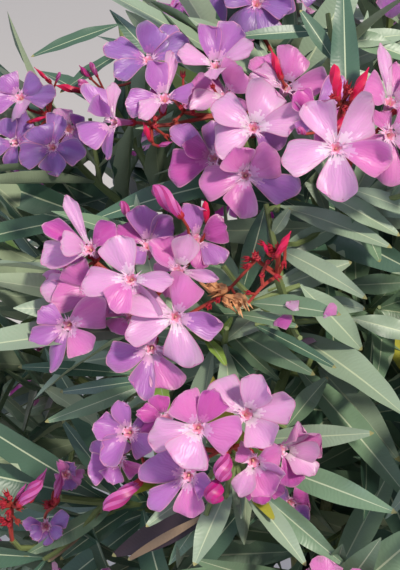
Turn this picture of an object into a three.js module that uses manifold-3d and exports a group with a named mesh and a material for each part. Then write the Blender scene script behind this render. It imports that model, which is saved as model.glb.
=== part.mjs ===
// A potted oleander in flower: seven canes in a round clay pot, each forking in three, as oleander
// does after every flush of bloom. Millimetres, +Z up. The origin is the middle of the pot's flat
// underside, and the floor is the plane Z = 0.

import * as THREE from "three";
import { mergeVertices } from "three/addons/utils/BufferGeometryUtils.js";
import Module from "manifold-3d";

const wasm = await Module();
wasm.setup();

// Driving dimensions

const CLEAR = 0.3; // gap left between pieces that touch
const SEED = 1753; // start of the random draws of the growing rule

const POT = {
  height: 280,
  rimRadius: 160,
  rimHeight: 46,
  rimTaper: 4,
  rimOverhang: 9,
  footRadius: 112,
  wall: 12,
  floor: 16,
  sides: 36,
  drainRadius: 7,
  drainCircle: 62,
  drains: 4,
};
const SOIL = { belowRim: 26, crownRise: 6 };

// The crown is a dome that the flower clusters lie on; angles are in degrees.
const CROWN = { middle: new THREE.Vector3(0, 0, 640), across: 310, high: 330 };
const REACH = { boughTip: 0.44, fork: 0.6, shootTip: 0.89 };
const LIFT = 0.5; // how far a shoot turns up towards the light
const JITTER = { azimuth: 3.5, polar: 3 };

// Rings of foliage masses, from the top down. Each mass has three shoots, given as the azimuth and
// polar angle from the mass's own middle. bloom is the share of shoots that carry a flower cluster.
const RINGS = [
  { name: "top", count: 3, start: 230, polar: 27, bloom: 0.85, shoots: [[-34, 3], [34, 1], [-6, -17]] },
  { name: "middle", count: 6, start: 235, polar: 52, bloom: 0.7, shoots: [[-17, -4], [16, -2], [1, 9]] },
  { name: "lower", count: 12, start: 220, polar: 88, bloom: 0.4, shoots: [[-6, -14], [7, 0], [-5, 15]] },
];

// Shoots whose places the photograph shows, as azimuth and polar angle on the crown, and their state.
const SEEN = {
  top_1: [[214, 29, "open"], [245, 29, "open"], [195, 20, "open"]],
  middle_1: [[223, 50, "open"], [240, 42, "spent"], [241, 60, "open"]],
  middle_6: [[173, 51, "open"], [158, 48, "open"], [186, 62, "leafy"]],
  lower_1: [[219, 75, "budding"], [228, 90, "open"], [214, 103, "leafy"]],
  lower_2: [[254, 76, "open"]],
};

const CANE = { baseCircle: 44, flare: 17, baseRadius: 11, forkRadius: 12, neckRadius: 8.5, sides: 8, rings: 6 };
const CENTRE_FORK_HEIGHT = 590;
const OUTER_FORK = { height: 492, out: 92 };
const BOUGH = { startRadius: 5, endRadius: 3.6, startCircle: 6.3, sides: 6, rings: 3 };
const TWIG = { startRadius: 3.6, forkRadius: 3.2, tipRadius: 2.5, knot: 8, sides: 3, rings: 2 };

const LEAF = { length: 128, lengthSpread: 18, width: 25, thickness: 3, droop: 14, sink: 1 };
const WHORLS = [
  { below: 30, spread: 52 },
  { below: 58, spread: 62 },
  { below: 84, spread: 74 },
];
const LEAVES_IN_WHORL = 3;

// A leaf that finds no room is tried nearer to its shoot, to either side, then shorter: shares of
// spread and length, and degrees aside.
const TRIES = [
  [1, 1, 0],
  [0.7, 1, 0],
  [1, 1, 28],
  [1, 1, -28],
  [0.45, 1, 0],
  [1, 0.75, 0],
  [0.6, 0.75, 0],
  [0.8, 0.6, 0],
];

const BLOSSOM = { radius: 24, depth: 26, dish: 11, petals: 5 };
const CLUSTER = { core: 13, apexOut: 5, sideTilt: 76, sides: 4 };
const BUD = { length: 30, radius: 4 };

// Small helpers

const UP = new THREE.Vector3(0, 0, 1);
const radians = THREE.MathUtils.degToRad;

// Draws numbers from 0 to 1 that are the same on every run.
function dice(seed) {
  let state = seed >>> 0;
  return () => {
    state = (Math.imul(state, 1664525) + 1013904223) >>> 0;
    return (state >>> 8) / 0x1000000;
  };
}

function solidOf(geometry) {
  const bare = new THREE.BufferGeometry();
  bare.setAttribute("position", geometry.getAttribute("position"));
  if (geometry.index) bare.setIndex(geometry.index);
  const merged = mergeVertices(bare, 1e-3);
  const corners = merged.index.array;
  const kept = [];
  for (let i = 0; i < corners.length; i += 3) {
    const [a, b, c] = [corners[i], corners[i + 1], corners[i + 2]];
    if (a !== b && b !== c && c !== a) kept.push(a, b, c);
  }
  return new wasm.Manifold(
    new wasm.Mesh({
      numProp: 3,
      vertProperties: merged.attributes.position.array,
      triVerts: new Uint32Array(kept),
    }),
  );
}

function geometryOf(solid) {
  const mesh = solid.getMesh();
  const geometry = new THREE.BufferGeometry();
  geometry.setAttribute("position", new THREE.BufferAttribute(mesh.vertProperties, 3));
  geometry.setIndex(new THREE.BufferAttribute(mesh.triVerts, 1));
  return geometry;
}

const joined = (solids) => solids.reduce((whole, piece) => whole.add(piece));

// Keeps the largest closed surface of a geometry, so that hollows sealed by crossing leaves are
// filled and loose scraps are dropped.
function largestSurface(geometry) {
  const corners = geometry.index.array;
  const places = geometry.attributes.position;
  const parent = Array.from({ length: places.count }, (_, i) => i);
  const rootOf = (i) => {
    while (parent[i] !== i) {
      parent[i] = parent[parent[i]];
      i = parent[i];
    }
    return i;
  };
  for (let i = 0; i < corners.length; i += 3) {
    parent[rootOf(corners[i + 1])] = rootOf(corners[i]);
    parent[rootOf(corners[i + 2])] = rootOf(corners[i]);
  }
  const volumes = new Map();
  const [a, b, c] = [new THREE.Vector3(), new THREE.Vector3(), new THREE.Vector3()];
  for (let i = 0; i < corners.length; i += 3) {
    a.fromBufferAttribute(places, corners[i]);
    b.fromBufferAttribute(places, corners[i + 1]);
    c.fromBufferAttribute(places, corners[i + 2]);
    const root = rootOf(corners[i]);
    volumes.set(root, (volumes.get(root) ?? 0) + a.dot(b.cross(c)) / 6);
  }
  const largest = [...volumes.keys()].reduce((x, y) => (volumes.get(y) > volumes.get(x) ? y : x));
  geometry.setIndex(Array.from(corners).filter((_, i) => rootOf(corners[i - (i % 3)]) === largest));
  return geometry;
}

function onCrown(azimuth, polar, reach) {
  const around = radians(azimuth);
  const down = radians(polar);
  return new THREE.Vector3(
    CROWN.across * Math.sin(down) * Math.cos(around),
    CROWN.across * Math.sin(down) * Math.sin(around),
    CROWN.high * Math.cos(down),
  )
    .multiplyScalar(reach)
    .add(CROWN.middle);
}

const sideways = (azimuth, out, height) =>
  new THREE.Vector3(out * Math.cos(radians(azimuth)), out * Math.sin(radians(azimuth)), height);

// A limb that tapers along a curve: a cylinder whose rings are laid on the curve.
function limb(curve, radiusAt, sides, rings) {
  const geometry = new THREE.CylinderGeometry(1, 1, 1, sides, rings);
  const frames = curve.computeFrenetFrames(rings);
  const corners = geometry.attributes.position;
  for (let i = 0; i < corners.count; i++) {
    const ring = Math.round((corners.getY(i) + 0.5) * rings);
    const radius = radiusAt(ring / rings);
    const place = curve
      .getPointAt(ring / rings)
      .addScaledVector(frames.normals[ring], corners.getX(i) * radius)
      .addScaledVector(frames.binormals[ring], -corners.getZ(i) * radius);
    corners.setXYZ(i, place.x, place.y, place.z);
  }
  return geometry;
}

const taper = (from, to) => (t) => from + (to - from) * t;

// A curve that leaves start along leaving and arrives at end along arriving.
function bend(start, leaving, end, arriving) {
  const pull = start.distanceTo(end) * 0.36;
  return new THREE.CubicBezierCurve3(
    start,
    start.clone().addScaledVector(leaving, pull),
    end.clone().addScaledVector(arriving, -pull),
    end,
  );
}

// The pot and its soil

const innerRadius = (height) => {
  const bodyTop = POT.height - POT.rimHeight;
  const outer = THREE.MathUtils.mapLinear(
    height, 0, bodyTop, POT.footRadius, POT.rimRadius - POT.rimTaper - POT.rimOverhang,
  );
  return outer - POT.wall;
};

function potSolid() {
  const bodyTop = POT.height - POT.rimHeight;
  const profile = [
    [0, 0],
    [POT.footRadius, 0],
    [POT.rimRadius - POT.rimTaper - POT.rimOverhang, bodyTop],
    [POT.rimRadius - POT.rimTaper, bodyTop],
    [POT.rimRadius, POT.height - 3],
    [POT.rimRadius - 3, POT.height],
    [innerRadius(POT.height) + 3, POT.height],
    [innerRadius(POT.height), POT.height - 3],
    [innerRadius(POT.floor), POT.floor],
    [0, POT.floor],
  ].map(([r, z]) => new THREE.Vector2(r, z));
  const shell = solidOf(new THREE.LatheGeometry(profile, POT.sides).rotateX(Math.PI / 2));
  const drains = [];
  for (let i = 0; i < POT.drains; i++) {
    const hole = new THREE.CylinderGeometry(POT.drainRadius, POT.drainRadius, POT.floor * 3, 10);
    const place = sideways((360 / POT.drains) * (i + 0.5), POT.drainCircle, 0);
    drains.push(solidOf(hole.rotateX(Math.PI / 2).translate(place.x, place.y, 0)));
  }
  return drains.reduce((whole, hole) => whole.subtract(hole), shell);
}

const soilTop = POT.height - SOIL.belowRim;

function soilSolid() {
  const bottom = POT.floor + CLEAR;
  const inset = 2 * CLEAR; // the facets of pot and soil don't line up, so the soil keeps twice the gap
  const profile = [
    [0, bottom],
    [innerRadius(bottom) - inset, bottom],
    [innerRadius(soilTop) - inset, soilTop - SOIL.crownRise],
    [CANE.baseCircle + 2 * CANE.flare, soilTop],
    [0, soilTop],
  ].map(([r, z]) => new THREE.Vector2(r, z));
  return solidOf(new THREE.LatheGeometry(profile, POT.sides).rotateX(Math.PI / 2));
}

// The growing rule: where masses and their shoots are

function plannedMasses() {
  const draw = dice(SEED);
  const masses = [];
  for (const ring of RINGS) {
    for (let i = 0; i < ring.count; i++) {
      const name = `${ring.name}_${i + 1}`;
      const azimuth = ring.start + (360 / ring.count) * i;
      const shoots = ring.shoots.map(([aside, down], k) => {
        const [shift, drop, chance] = [draw(), draw(), draw()];
        const seen = SEEN[name]?.[k];
        const at = seen ?? [
          azimuth + aside + (shift - 0.5) * 2 * JITTER.azimuth,
          ring.polar + down + (drop - 0.5) * 2 * JITTER.polar,
        ];
        const tip = onCrown(at[0], at[1], REACH.shootTip);
        const heading = tip.clone().sub(CROWN.middle).normalize().addScaledVector(UP, LIFT).normalize();
        return { tip, heading, state: seen ? seen[2] : chance < ring.bloom ? "open" : "leafy" };
      });
      const middle = shoots.reduce((sum, s) => sum.add(s.tip), new THREE.Vector3()).divideScalar(3);
      masses.push({ name, ring: ring.name, index: i, azimuth, polar: ring.polar, shoots, middle });
    }
  }
  return masses;
}

// A mass keeps to the space that is nearer to its own middle than to any other mass's.
function keepsToItsSpace(points, own, masses) {
  return masses.every((other) => {
    if (other === own) return true;
    const apart = own.middle.clone().sub(other.middle);
    const border = (own.middle.lengthSq() - other.middle.lengthSq()) / 2;
    return points.every((p) => p.dot(apart) - border > CLEAR * apart.length());
  });
}

// Canes and boughs

function grownLimbs(masses) {
  const canes = [];
  const boughs = [];
  const forks = [{ name: "cane_centre", fork: new THREE.Vector3(0, 0, CENTRE_FORK_HEIGHT), foot: [0, 0] }];
  const outer = RINGS[1];
  for (let i = 0; i < outer.count; i++) {
    const azimuth = outer.start + (360 / outer.count) * i;
    forks.push({
      name: `cane_${i + 1}`,
      fork: sideways(azimuth, OUTER_FORK.out, OUTER_FORK.height + (i % 3) * 14),
      foot: [azimuth, CANE.baseCircle],
    });
  }
  for (const [n, { name, fork, foot }] of forks.entries()) {
    const base = sideways(foot[0], foot[1], soilTop + CLEAR);
    const lean = fork.clone().sub(base).normalize().lerp(UP, 0.35).normalize();
    const path = bend(base, UP, fork, lean);
    const radiusAt = (t) =>
      THREE.MathUtils.lerp(CANE.baseRadius, CANE.neckRadius, t) +
      (CANE.flare - CANE.baseRadius) * Math.exp(-9 * t) +
      (CANE.forkRadius - CANE.neckRadius) * Math.exp(-14 * (1 - t));
    canes.push({ name, path, radiusAt, sides: CANE.sides, rings: CANE.rings });

    const carried = n === 0
      ? masses.filter((m) => m.ring === "top")
      : masses.filter(
          (m) => (m.ring === "middle" && m.index === n - 1) ||
            (m.ring === "lower" && Math.floor(m.index / 2) === n - 1),
        );
    for (const mass of carried) {
      // The three boughs of a fork start side by side on the cane's flat end.
      const facing = n === 0 ? mass.azimuth : foot[0] + (mass.ring === "middle" ? 180 : mass.index % 2 ? 60 : -60);
      const outwards = sideways(facing, 1, 0);
      outwards.addScaledVector(lean, -outwards.dot(lean)).normalize();
      const start = fork.clone().addScaledVector(outwards, BOUGH.startCircle).addScaledVector(lean, CLEAR);
      const heart = mass.middle.clone().sub(CROWN.middle);
      const end = CROWN.middle.clone().addScaledVector(heart, REACH.boughTip / REACH.shootTip);
      const arriving = heart.normalize().lerp(UP, 0.25).normalize();
      mass.stemStart = end.clone().addScaledVector(arriving, CLEAR);
      mass.stemHeading = arriving;
      boughs.push({
        name: `bough_${mass.name}`,
        path: bend(start, lean, end, arriving),
        radiusAt: taper(BOUGH.startRadius, BOUGH.endRadius),
        sides: BOUGH.sides,
        rings: BOUGH.rings,
      });
    }
  }
  return { canes, boughs };
}

// Foliage masses

// A blade with its root at the origin, pointing along +X, its face up +Z.
function leafBlade(length) {
  const blade = new THREE.OctahedronGeometry(1).scale(length / 2, LEAF.width / 2, LEAF.thickness / 2);
  blade.translate(length / 2 - LEAF.sink, 0, 0);
  const corners = blade.attributes.position;
  for (let i = 0; i < corners.count; i++) {
    const along = corners.getX(i) / length;
    corners.setZ(i, corners.getZ(i) - LEAF.droop * along * along);
  }
  return blade;
}

// The five-sided funnel of an open flower, its narrow end at the origin, opening along +Y.
const blossom = () =>
  new THREE.LatheGeometry(
    [
      new THREE.Vector2(0, 0),
      new THREE.Vector2(BLOSSOM.radius, BLOSSOM.depth),
      new THREE.Vector2(0, BLOSSOM.depth - BLOSSOM.dish),
    ],
    BLOSSOM.petals,
  );

const pointsOf = (geometry) => {
  const corners = geometry.attributes.position;
  return Array.from({ length: corners.count }, (_, i) => new THREE.Vector3().fromBufferAttribute(corners, i));
};

// Turns +Y to a direction and moves the origin to a place.
const stood = (geometry, heading, place) =>
  geometry.applyMatrix4(
    new THREE.Matrix4().compose(
      place,
      new THREE.Quaternion().setFromUnitVectors(new THREE.Vector3(0, 1, 0), heading),
      new THREE.Vector3(1, 1, 1),
    ),
  );

function touchesALimb(points, limbs) {
  return limbs.some(({ path, radiusAt }) =>
    path.getSpacedPoints(12).some((spot, k) =>
      points.some((p) => p.distanceTo(spot) < radiusAt(k / 12) + LEAF.width / 2),
    ),
  );
}

// Two directions square to a heading.
function across(heading) {
  const side = new THREE.Vector3().crossVectors(heading, Math.abs(heading.z) < 0.95 ? UP : new THREE.Vector3(1, 0, 0));
  side.normalize();
  return [side, new THREE.Vector3().crossVectors(heading, side).normalize()];
}

function aimed(heading, tilt, turn) {
  const [side, top] = across(heading);
  return heading
    .clone()
    .multiplyScalar(Math.cos(tilt))
    .addScaledVector(side, Math.sin(tilt) * Math.cos(turn))
    .addScaledVector(top, Math.sin(tilt) * Math.sin(turn));
}

const meet = (one, other) => one.intersect(other).getMesh().triVerts.length > 0;

// Whorls of leaves below a shoot's tip. turn is the first whorl's; the next ones sit between.
function leavesOn(path, turn, grown, otherTwigs, own, masses, limbs, draw) {
  const length = path.getLength();
  for (const [n, whorl] of WHORLS.entries()) {
    const t = 1 - whorl.below / length;
    if (t < 0.1) continue;
    const root = path.getPointAt(t);
    const heading = path.getTangentAt(t);
    const mates = [];
    for (let i = 0; i < LEAVES_IN_WHORL; i++) {
      const fullLength = LEAF.length + (draw() - 0.5) * LEAF.lengthSpread;
      const around = turn + ((i + n / 2) / LEAVES_IN_WHORL) * 2 * Math.PI;
      for (const [spreadShare, lengthShare, aside] of TRIES) {
        const blade = leafBlade(fullLength * lengthShare);
        const forward = aimed(heading, radians(whorl.spread * spreadShare), around + radians(aside));
        const face = heading.clone().addScaledVector(forward, -heading.dot(forward)).normalize();
        const side = new THREE.Vector3().crossVectors(face, forward);
        const placed = blade.clone().applyMatrix4(new THREE.Matrix4().makeBasis(forward, side, face).setPosition(root));
        const points = pointsOf(placed);
        points.push(...points.map((p) => p.clone().lerp(root, 0.5)));
        if (!keepsToItsSpace(points, own, masses) || touchesALimb(points, limbs)) continue;
        const solid = solidOf(placed);
        if ([...grown, ...otherTwigs].some((piece) => meet(piece, solid))) continue;
        mates.push(solid);
        break;
      }
    }
    grown.push(...mates);
  }
}

function clusterOn(tip, heading, turn, state, grown, own, masses) {
  if (state === "leafy") return;
  const others = [...grown];
  const core = new THREE.OctahedronGeometry(CLUSTER.core).rotateZ(0.7).rotateX(0.4);
  grown.push(solidOf(stood(core, heading, tip)));
  const aims = [[0, 0]];
  for (let i = 0; i < CLUSTER.sides; i++) {
    aims.push([radians(CLUSTER.sideTilt), turn + (i / CLUSTER.sides) * 2 * Math.PI]);
  }
  for (const [tilt, around] of aims) {
    const way = aimed(heading, tilt, around);
    const shape = state === "open"
      ? blossom()
      : new THREE.ConeGeometry(BUD.radius, BUD.length, 4).translate(0, BUD.length / 2, 0);
    const placed = stood(shape, way, tip.clone().addScaledVector(way, CLUSTER.apexOut));
    if (!keepsToItsSpace(pointsOf(placed), own, masses)) continue;
    const solid = solidOf(placed);
    if (!others.some((piece) => meet(piece, solid))) grown.push(solid);
  }
}

function massSolid(mass, masses, limbs) {
  const draw = dice(SEED + 977 * (masses.indexOf(mass) + 1));
  const heart = mass.middle.clone().sub(CROWN.middle);
  const fork = CROWN.middle.clone().addScaledVector(heart, REACH.fork / REACH.shootTip);
  const outwards = heart.normalize();
  const stem = bend(mass.stemStart, mass.stemHeading, fork, outwards);
  const twigs = [solidOf(limb(stem, taper(TWIG.startRadius, TWIG.forkRadius), TWIG.sides, 1))];
  const grown = [solidOf(new THREE.OctahedronGeometry(TWIG.knot).translate(fork.x, fork.y, fork.z))];
  const shoots = mass.shoots.map((shoot) => {
    const leaving = shoot.tip.clone().sub(fork).normalize().addScaledVector(outwards, -0.35).normalize();
    return { ...shoot, path: bend(fork, leaving, shoot.tip, shoot.heading), turn: draw() * 2 * Math.PI };
  });
  for (const { path, tip, heading, turn, state } of shoots) {
    twigs.push(solidOf(limb(path, taper(TWIG.forkRadius, TWIG.tipRadius), TWIG.sides, TWIG.rings)));
    clusterOn(tip, heading, turn, state, grown, mass, masses);
  }
  for (const [k, { path, turn }] of shoots.entries()) {
    const otherTwigs = twigs.filter((_, j) => j !== k + 1);
    leavesOn(path, turn + Math.PI / LEAVES_IN_WHORL, grown, otherTwigs, mass, masses, limbs, draw);
  }
  return joined([...grown, ...twigs]);
}

// The whole plant

const CLAY = new THREE.MeshStandardMaterial({ color: 0xb5694a, roughness: 0.9 });
const EARTH = new THREE.MeshStandardMaterial({ color: 0x3b2d22, roughness: 1 });
const BARK = new THREE.MeshStandardMaterial({ color: 0x7d735c, roughness: 0.85 });
const FOLIAGE = new THREE.MeshStandardMaterial({ color: 0x6f8f6b, roughness: 0.5 });

const plant = new THREE.Group();
function add(name, solid, material) {
  const mesh = new THREE.Mesh(largestSurface(geometryOf(solid)), material);
  mesh.name = name;
  plant.add(mesh);
}

const masses = plannedMasses();
const { canes, boughs } = grownLimbs(masses);
const limbs = [...canes, ...boughs];

add("pot", potSolid(), CLAY);
add("soil", soilSolid(), EARTH);
for (const { name, path, radiusAt, sides, rings } of limbs) {
  add(name, solidOf(limb(path, radiusAt, sides, rings)), BARK);
}
for (const mass of masses) add(`foliage_${mass.name}`, massSolid(mass, masses, limbs), FOLIAGE);

export default plant;
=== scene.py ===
# %% [markdown]
# # A potted oleander in bloom
#
# An oleander is a woody shrub that forks in three after every flush of flowers. Its leathery leaves
# stand in whorls of three, and each flowering shoot ends in a loose cluster of five-petalled flowers.
# This lesson dresses a measured model of such a plant. The model's pot, canes and boughs say where
# everything is; here each gets the surface that the real one has. We work in millimetres, as a
# gardener would, and turn them to metres at the moment that a mesh is made.

# %% The measured model
import math

import bpy
import numpy as np
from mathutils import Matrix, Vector


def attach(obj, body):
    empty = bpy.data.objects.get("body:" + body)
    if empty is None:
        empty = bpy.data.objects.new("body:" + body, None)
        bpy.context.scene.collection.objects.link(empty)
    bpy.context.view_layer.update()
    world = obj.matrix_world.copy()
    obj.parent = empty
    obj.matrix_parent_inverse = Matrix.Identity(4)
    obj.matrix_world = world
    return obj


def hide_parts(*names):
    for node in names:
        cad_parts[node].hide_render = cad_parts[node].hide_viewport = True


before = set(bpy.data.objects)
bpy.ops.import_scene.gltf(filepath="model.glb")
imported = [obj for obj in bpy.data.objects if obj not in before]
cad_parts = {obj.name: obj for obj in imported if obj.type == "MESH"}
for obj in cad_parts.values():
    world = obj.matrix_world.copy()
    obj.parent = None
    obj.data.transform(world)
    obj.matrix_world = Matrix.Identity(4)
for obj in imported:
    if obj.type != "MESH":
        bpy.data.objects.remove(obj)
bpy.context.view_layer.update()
nodes = sorted(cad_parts)
print("measured solids:", len(nodes))

# %% [markdown]
# ## Chance that repeats
#
# Plants look natural because no two leaves sit alike, yet a lesson has to give the same plant on
# every run. A small generator of draws with a fixed start does both. We write our own instead of
# using a library's, because the same few lines give the same numbers in any language.

# %% Draws with a fixed start
SEED = 1753


class Dice:
    """Draws from 0 to 1 that are the same on every run."""

    def __init__(self, seed):
        self.state = seed & 0xFFFFFFFF

    def __call__(self):
        self.state = (self.state * 1664525 + 1013904223) & 0xFFFFFFFF
        return (self.state >> 8) / 0x1000000

    def around(self, middle, spread):
        return middle + (2 * self() - 1) * spread

    def pick(self, things):
        return things[int(self() * len(things))]


print("first draw:", round(Dice(SEED)(), 4))

# %% [markdown]
# ## Directions and curves
#
# A cane, a bough or a twig is a curve that leaves one place in one direction and arrives at another
# in another. A cubic curve with two handles says exactly that. We walk it at an even pace, so that
# halfway along the curve is halfway along the twig.

# %% Curves for limbs
UP = np.array([0.0, 0.0, 1.0])
SIDE = np.array([1.0, 0.0, 0.0])
FULL = 2 * math.pi  # once around
ANYWHERE = 6.28  # a draw times this points to any side


def unit(v):
    return v / np.linalg.norm(v)


def sideways_by(turn, out, height):
    return np.array([out * math.cos(turn), out * math.sin(turn), height])


def sideways(degrees, out, height):
    return sideways_by(math.radians(degrees), out, height)


def mix(a, b, share):
    return a + (b - a) * share


def turns_of(sides):
    """Evenly spaced angles once around, one for each side."""
    return np.arange(sides) * FULL / sides


def ring_at(radius, angles, height):
    """Points of a level ring around the upright axis."""
    return np.stack([radius * np.cos(angles), radius * np.sin(angles), angles * 0 + height], axis=-1)


def square_to(heading):
    """Two directions square to a heading."""
    side = unit(np.cross(heading, UP if abs(heading[2]) < 0.95 else SIDE))
    return side, unit(np.cross(heading, side))


def aimed(heading, tilt, turn):
    """A direction tilted away from a heading, to the side that turn gives."""
    side, top = square_to(heading)
    return math.cos(tilt) * heading + math.sin(tilt) * (math.cos(turn) * side + math.sin(turn) * top)



print("an eighth of the way round:", sideways(45, 1, 0).round(3))

# %% Paths to grow along
class Walk:
    """A curve given by many places along it, walked at an even pace."""

    def __init__(self, spots):
        self.spots = spots
        steps = np.linalg.norm(np.diff(spots, axis=0), axis=1)
        walked = np.concatenate([[0], np.cumsum(steps)])
        self.length = walked[-1]
        self.walked = walked / self.length

    def at(self, share):
        return np.array([np.interp(share, self.walked, self.spots[:, k]) for k in range(3)]).T

    def heading(self, share):
        return unit(self.at(min(share + 0.01, 1)) - self.at(max(share - 0.01, 0)))


class Bend(Walk):
    """A curve that leaves start along leaving and arrives at end along arriving."""

    STEPS = 200
    PULL = 0.36  # length of each handle, as a share of the way

    def __init__(self, start, leaving, end, arriving):
        pull = np.linalg.norm(end - start) * self.PULL
        handles = np.array([start, start + leaving * pull, end - arriving * pull, end])
        t = np.linspace(0, 1, self.STEPS + 1)[:, None]
        weights = np.hstack([(1 - t) ** 3, 3 * t * (1 - t) ** 2, 3 * t * t * (1 - t), t**3])
        super().__init__(weights @ handles)


STEPS_BETWEEN = 12


def through(places):
    """A smooth curve through given places."""
    places = np.array([2 * places[0] - places[1], *places, 2 * places[-1] - places[-2]])
    t = np.linspace(0, 1, STEPS_BETWEEN, endpoint=False)[:, None]
    spots = []
    for a, b, c, d in zip(places, places[1:], places[2:], places[3:]):
        spots.append(b + t / 2 * (c - a + t * (2 * a - 5 * b + 4 * c - d + t * (3 * (b - c) + d - a))))
    return Walk(np.concatenate([*spots, [places[-2]]]))


bend = Bend(UP * 0, UP, (UP + SIDE) * 100, SIDE)
print("a quarter bend of 100 mm each way is", round(bend.length), "mm long")

# %% [markdown]
# ## The growing rule
#
# The crown is a dome that the flower clusters lie on. Rings of three, six and twelve masses of
# foliage fill it, and each mass has three shoots. The numbers below are the measured model's own
# rule, so every twig grows from the end of its bough. A few shoots have set places and states: open,
# in bud, spent, or with leaves alone.

# %% Masses and their shoots
CROWN = np.array([0.0, 0.0, 640.0])
CROWN_RADII = np.array([310.0, 310.0, 330.0])
BOUGH_TIP, FORK, SHOOT_TIP = 0.44, 0.6, 0.89  # shares of the way from the dome's middle to its skin
LIFT = 0.5  # how strongly a shoot turns up to the light
# ring, masses, azimuth of the first, angle from upright, share of shoots in bloom,
# and for each shoot how far it stands aside and below
RINGS = [
    ("top", 3, 230, 27, 0.85, [(-34, 3), (34, 1), (-6, -17)]),
    ("middle", 6, 235, 52, 0.7, [(-17, -4), (16, -2), (1, 9)]),
    ("lower", 12, 220, 88, 0.4, [(-6, -14), (7, 0), (-5, 15)]),
]
# azimuth, angle from upright, state
SET_SHOOTS = {
    "top_1": [(214, 29, "open"), (245, 29, "open"), (195, 20, "open")],
    "middle_1": [(223, 50, "open"), (240, 42, "spent"), (241, 60, "open")],
    "middle_6": [(173, 51, "open"), (158, 48, "open"), (186, 62, "leafy")],
    "lower_1": [(219, 75, "budding"), (228, 90, "open"), (214, 103, "leafy")],
    "lower_2": [(254, 76, "open")],
}
AZIMUTH_JITTER, POLAR_JITTER = 3.5, 3


def on_crown(azimuth, polar, reach):
    around, down = math.radians(azimuth), math.radians(polar)
    way = [math.sin(down) * math.cos(around), math.sin(down) * math.sin(around), math.cos(down)]
    return CROWN + CROWN_RADII * way * reach


draw = Dice(SEED)
masses = []
for ring, count, start, polar, bloom, places in RINGS:
    for i in range(count):
        name = f"{ring}_{i + 1}"
        azimuth = start + 360 / count * i
        shoots = []
        for k, (aside, down) in enumerate(places):
            shift, drop, chance = draw(), draw(), draw()
            if k < len(SET_SHOOTS.get(name, [])):
                where_to, how_low, state = SET_SHOOTS[name][k]
            else:
                where_to = azimuth + aside + (shift - 0.5) * 2 * AZIMUTH_JITTER
                how_low = polar + down + (drop - 0.5) * 2 * POLAR_JITTER
                state = "open" if chance < bloom else "leafy"
            tip = on_crown(where_to, how_low, SHOOT_TIP)
            heading = unit(unit(tip - CROWN) + UP * LIFT)
            shoots.append({"name": f"{name}.{k + 1}", "tip": tip, "heading": heading, "state": state})
        middle = sum(s["tip"] for s in shoots) / 3
        masses.append({"name": name, "ring": ring, "index": i, "azimuth": azimuth, "shoots": shoots,
                       "middle": middle})
print("masses:", len(masses), "shoots:", sum(len(m["shoots"]) for m in masses))

# %% [markdown]
# ## Canes, boughs and twigs as curves
#
# Seven canes stand on the soil, one in the middle and six around it. Each ends in a fork of three
# boughs, and each bough ends in a twig that forks again into the three shoots of its mass. All are
# the same kind of curve, with a radius that narrows along it.

# %% Canes and boughs
SOIL_TOP = 254.0
CANE_CIRCLE = 44  # the six outer canes stand on this radius
CANE_FLARE, CANE_BASE, CANE_NECK, CANE_FORK = 17, 11, 8.5, 12  # radii from the foot to the fork
FLARE_FADE, KNUCKLE_FADE = 9, 14  # how quickly the swellings at the two ends die away
CENTRE_FORK = 590.0
OUTER_FORK_HEIGHT, OUTER_FORK_OUT, FORK_STEP = 492, 92, 14
BOUGH_START, BOUGH_END, BOUGH_CIRCLE = 5, 3.6, 6.3
TWIG_START, TWIG_FORK, TWIG_TIP = 3.6, 3.0, 2.1
CLEAR = 0.3  # the hair's breadth that parts two measured solids
CANE_UPRIGHT, BOUGH_UPRIGHT, SHOOT_SPLAY = 0.35, 0.25, 0.35


def cane_radius(share):
    flare = (CANE_FLARE - CANE_BASE) * math.exp(-FLARE_FADE * share)
    knuckle = (CANE_FORK - CANE_NECK) * math.exp(-KNUCKLE_FADE * (1 - share))
    return mix(CANE_BASE, CANE_NECK, share) + flare + knuckle


def bough_radius(share):
    return mix(BOUGH_START, BOUGH_END, share)


_, middle_count, middle_start, _, _, _ = RINGS[1]
feet = [("cane_centre", 0, 0, np.array([0, 0, CENTRE_FORK]))]
for i in range(middle_count):
    azimuth = middle_start + 360 / middle_count * i
    fork = sideways(azimuth, OUTER_FORK_OUT, OUTER_FORK_HEIGHT + i % 3 * FORK_STEP)
    feet.append((f"cane_{i + 1}", azimuth, CANE_CIRCLE, fork))

limbs = {}
for n, (name, azimuth, out, fork) in enumerate(feet):
    foot = sideways(azimuth, out, SOIL_TOP + CLEAR)
    lean = unit(mix(unit(fork - foot), UP, CANE_UPRIGHT))
    limbs[name] = (Bend(foot, UP, fork, lean), cane_radius)
    for mass in masses:
        ring, index = mass["ring"], mass["index"]
        if n == 0:
            mine, facing = ring == "top", mass["azimuth"]
        else:
            mine = (ring == "middle" and index == n - 1) or (ring == "lower" and index // 2 == n - 1)
            facing = azimuth + (180 if ring == "middle" else 60 if index % 2 else -60)
        if not mine:
            continue
        outwards = sideways(facing, 1, 0)
        outwards = unit(outwards - lean * outwards.dot(lean))
        start = fork + outwards * BOUGH_CIRCLE + lean * CLEAR
        heart = mass["middle"] - CROWN
        end = CROWN + heart * BOUGH_TIP / SHOOT_TIP
        arriving = unit(mix(unit(heart), UP, BOUGH_UPRIGHT))
        limbs["bough_" + mass["name"]] = (Bend(start, lean, end, arriving), bough_radius)
        mass["stem_start"], mass["stem_heading"] = end, arriving

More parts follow.
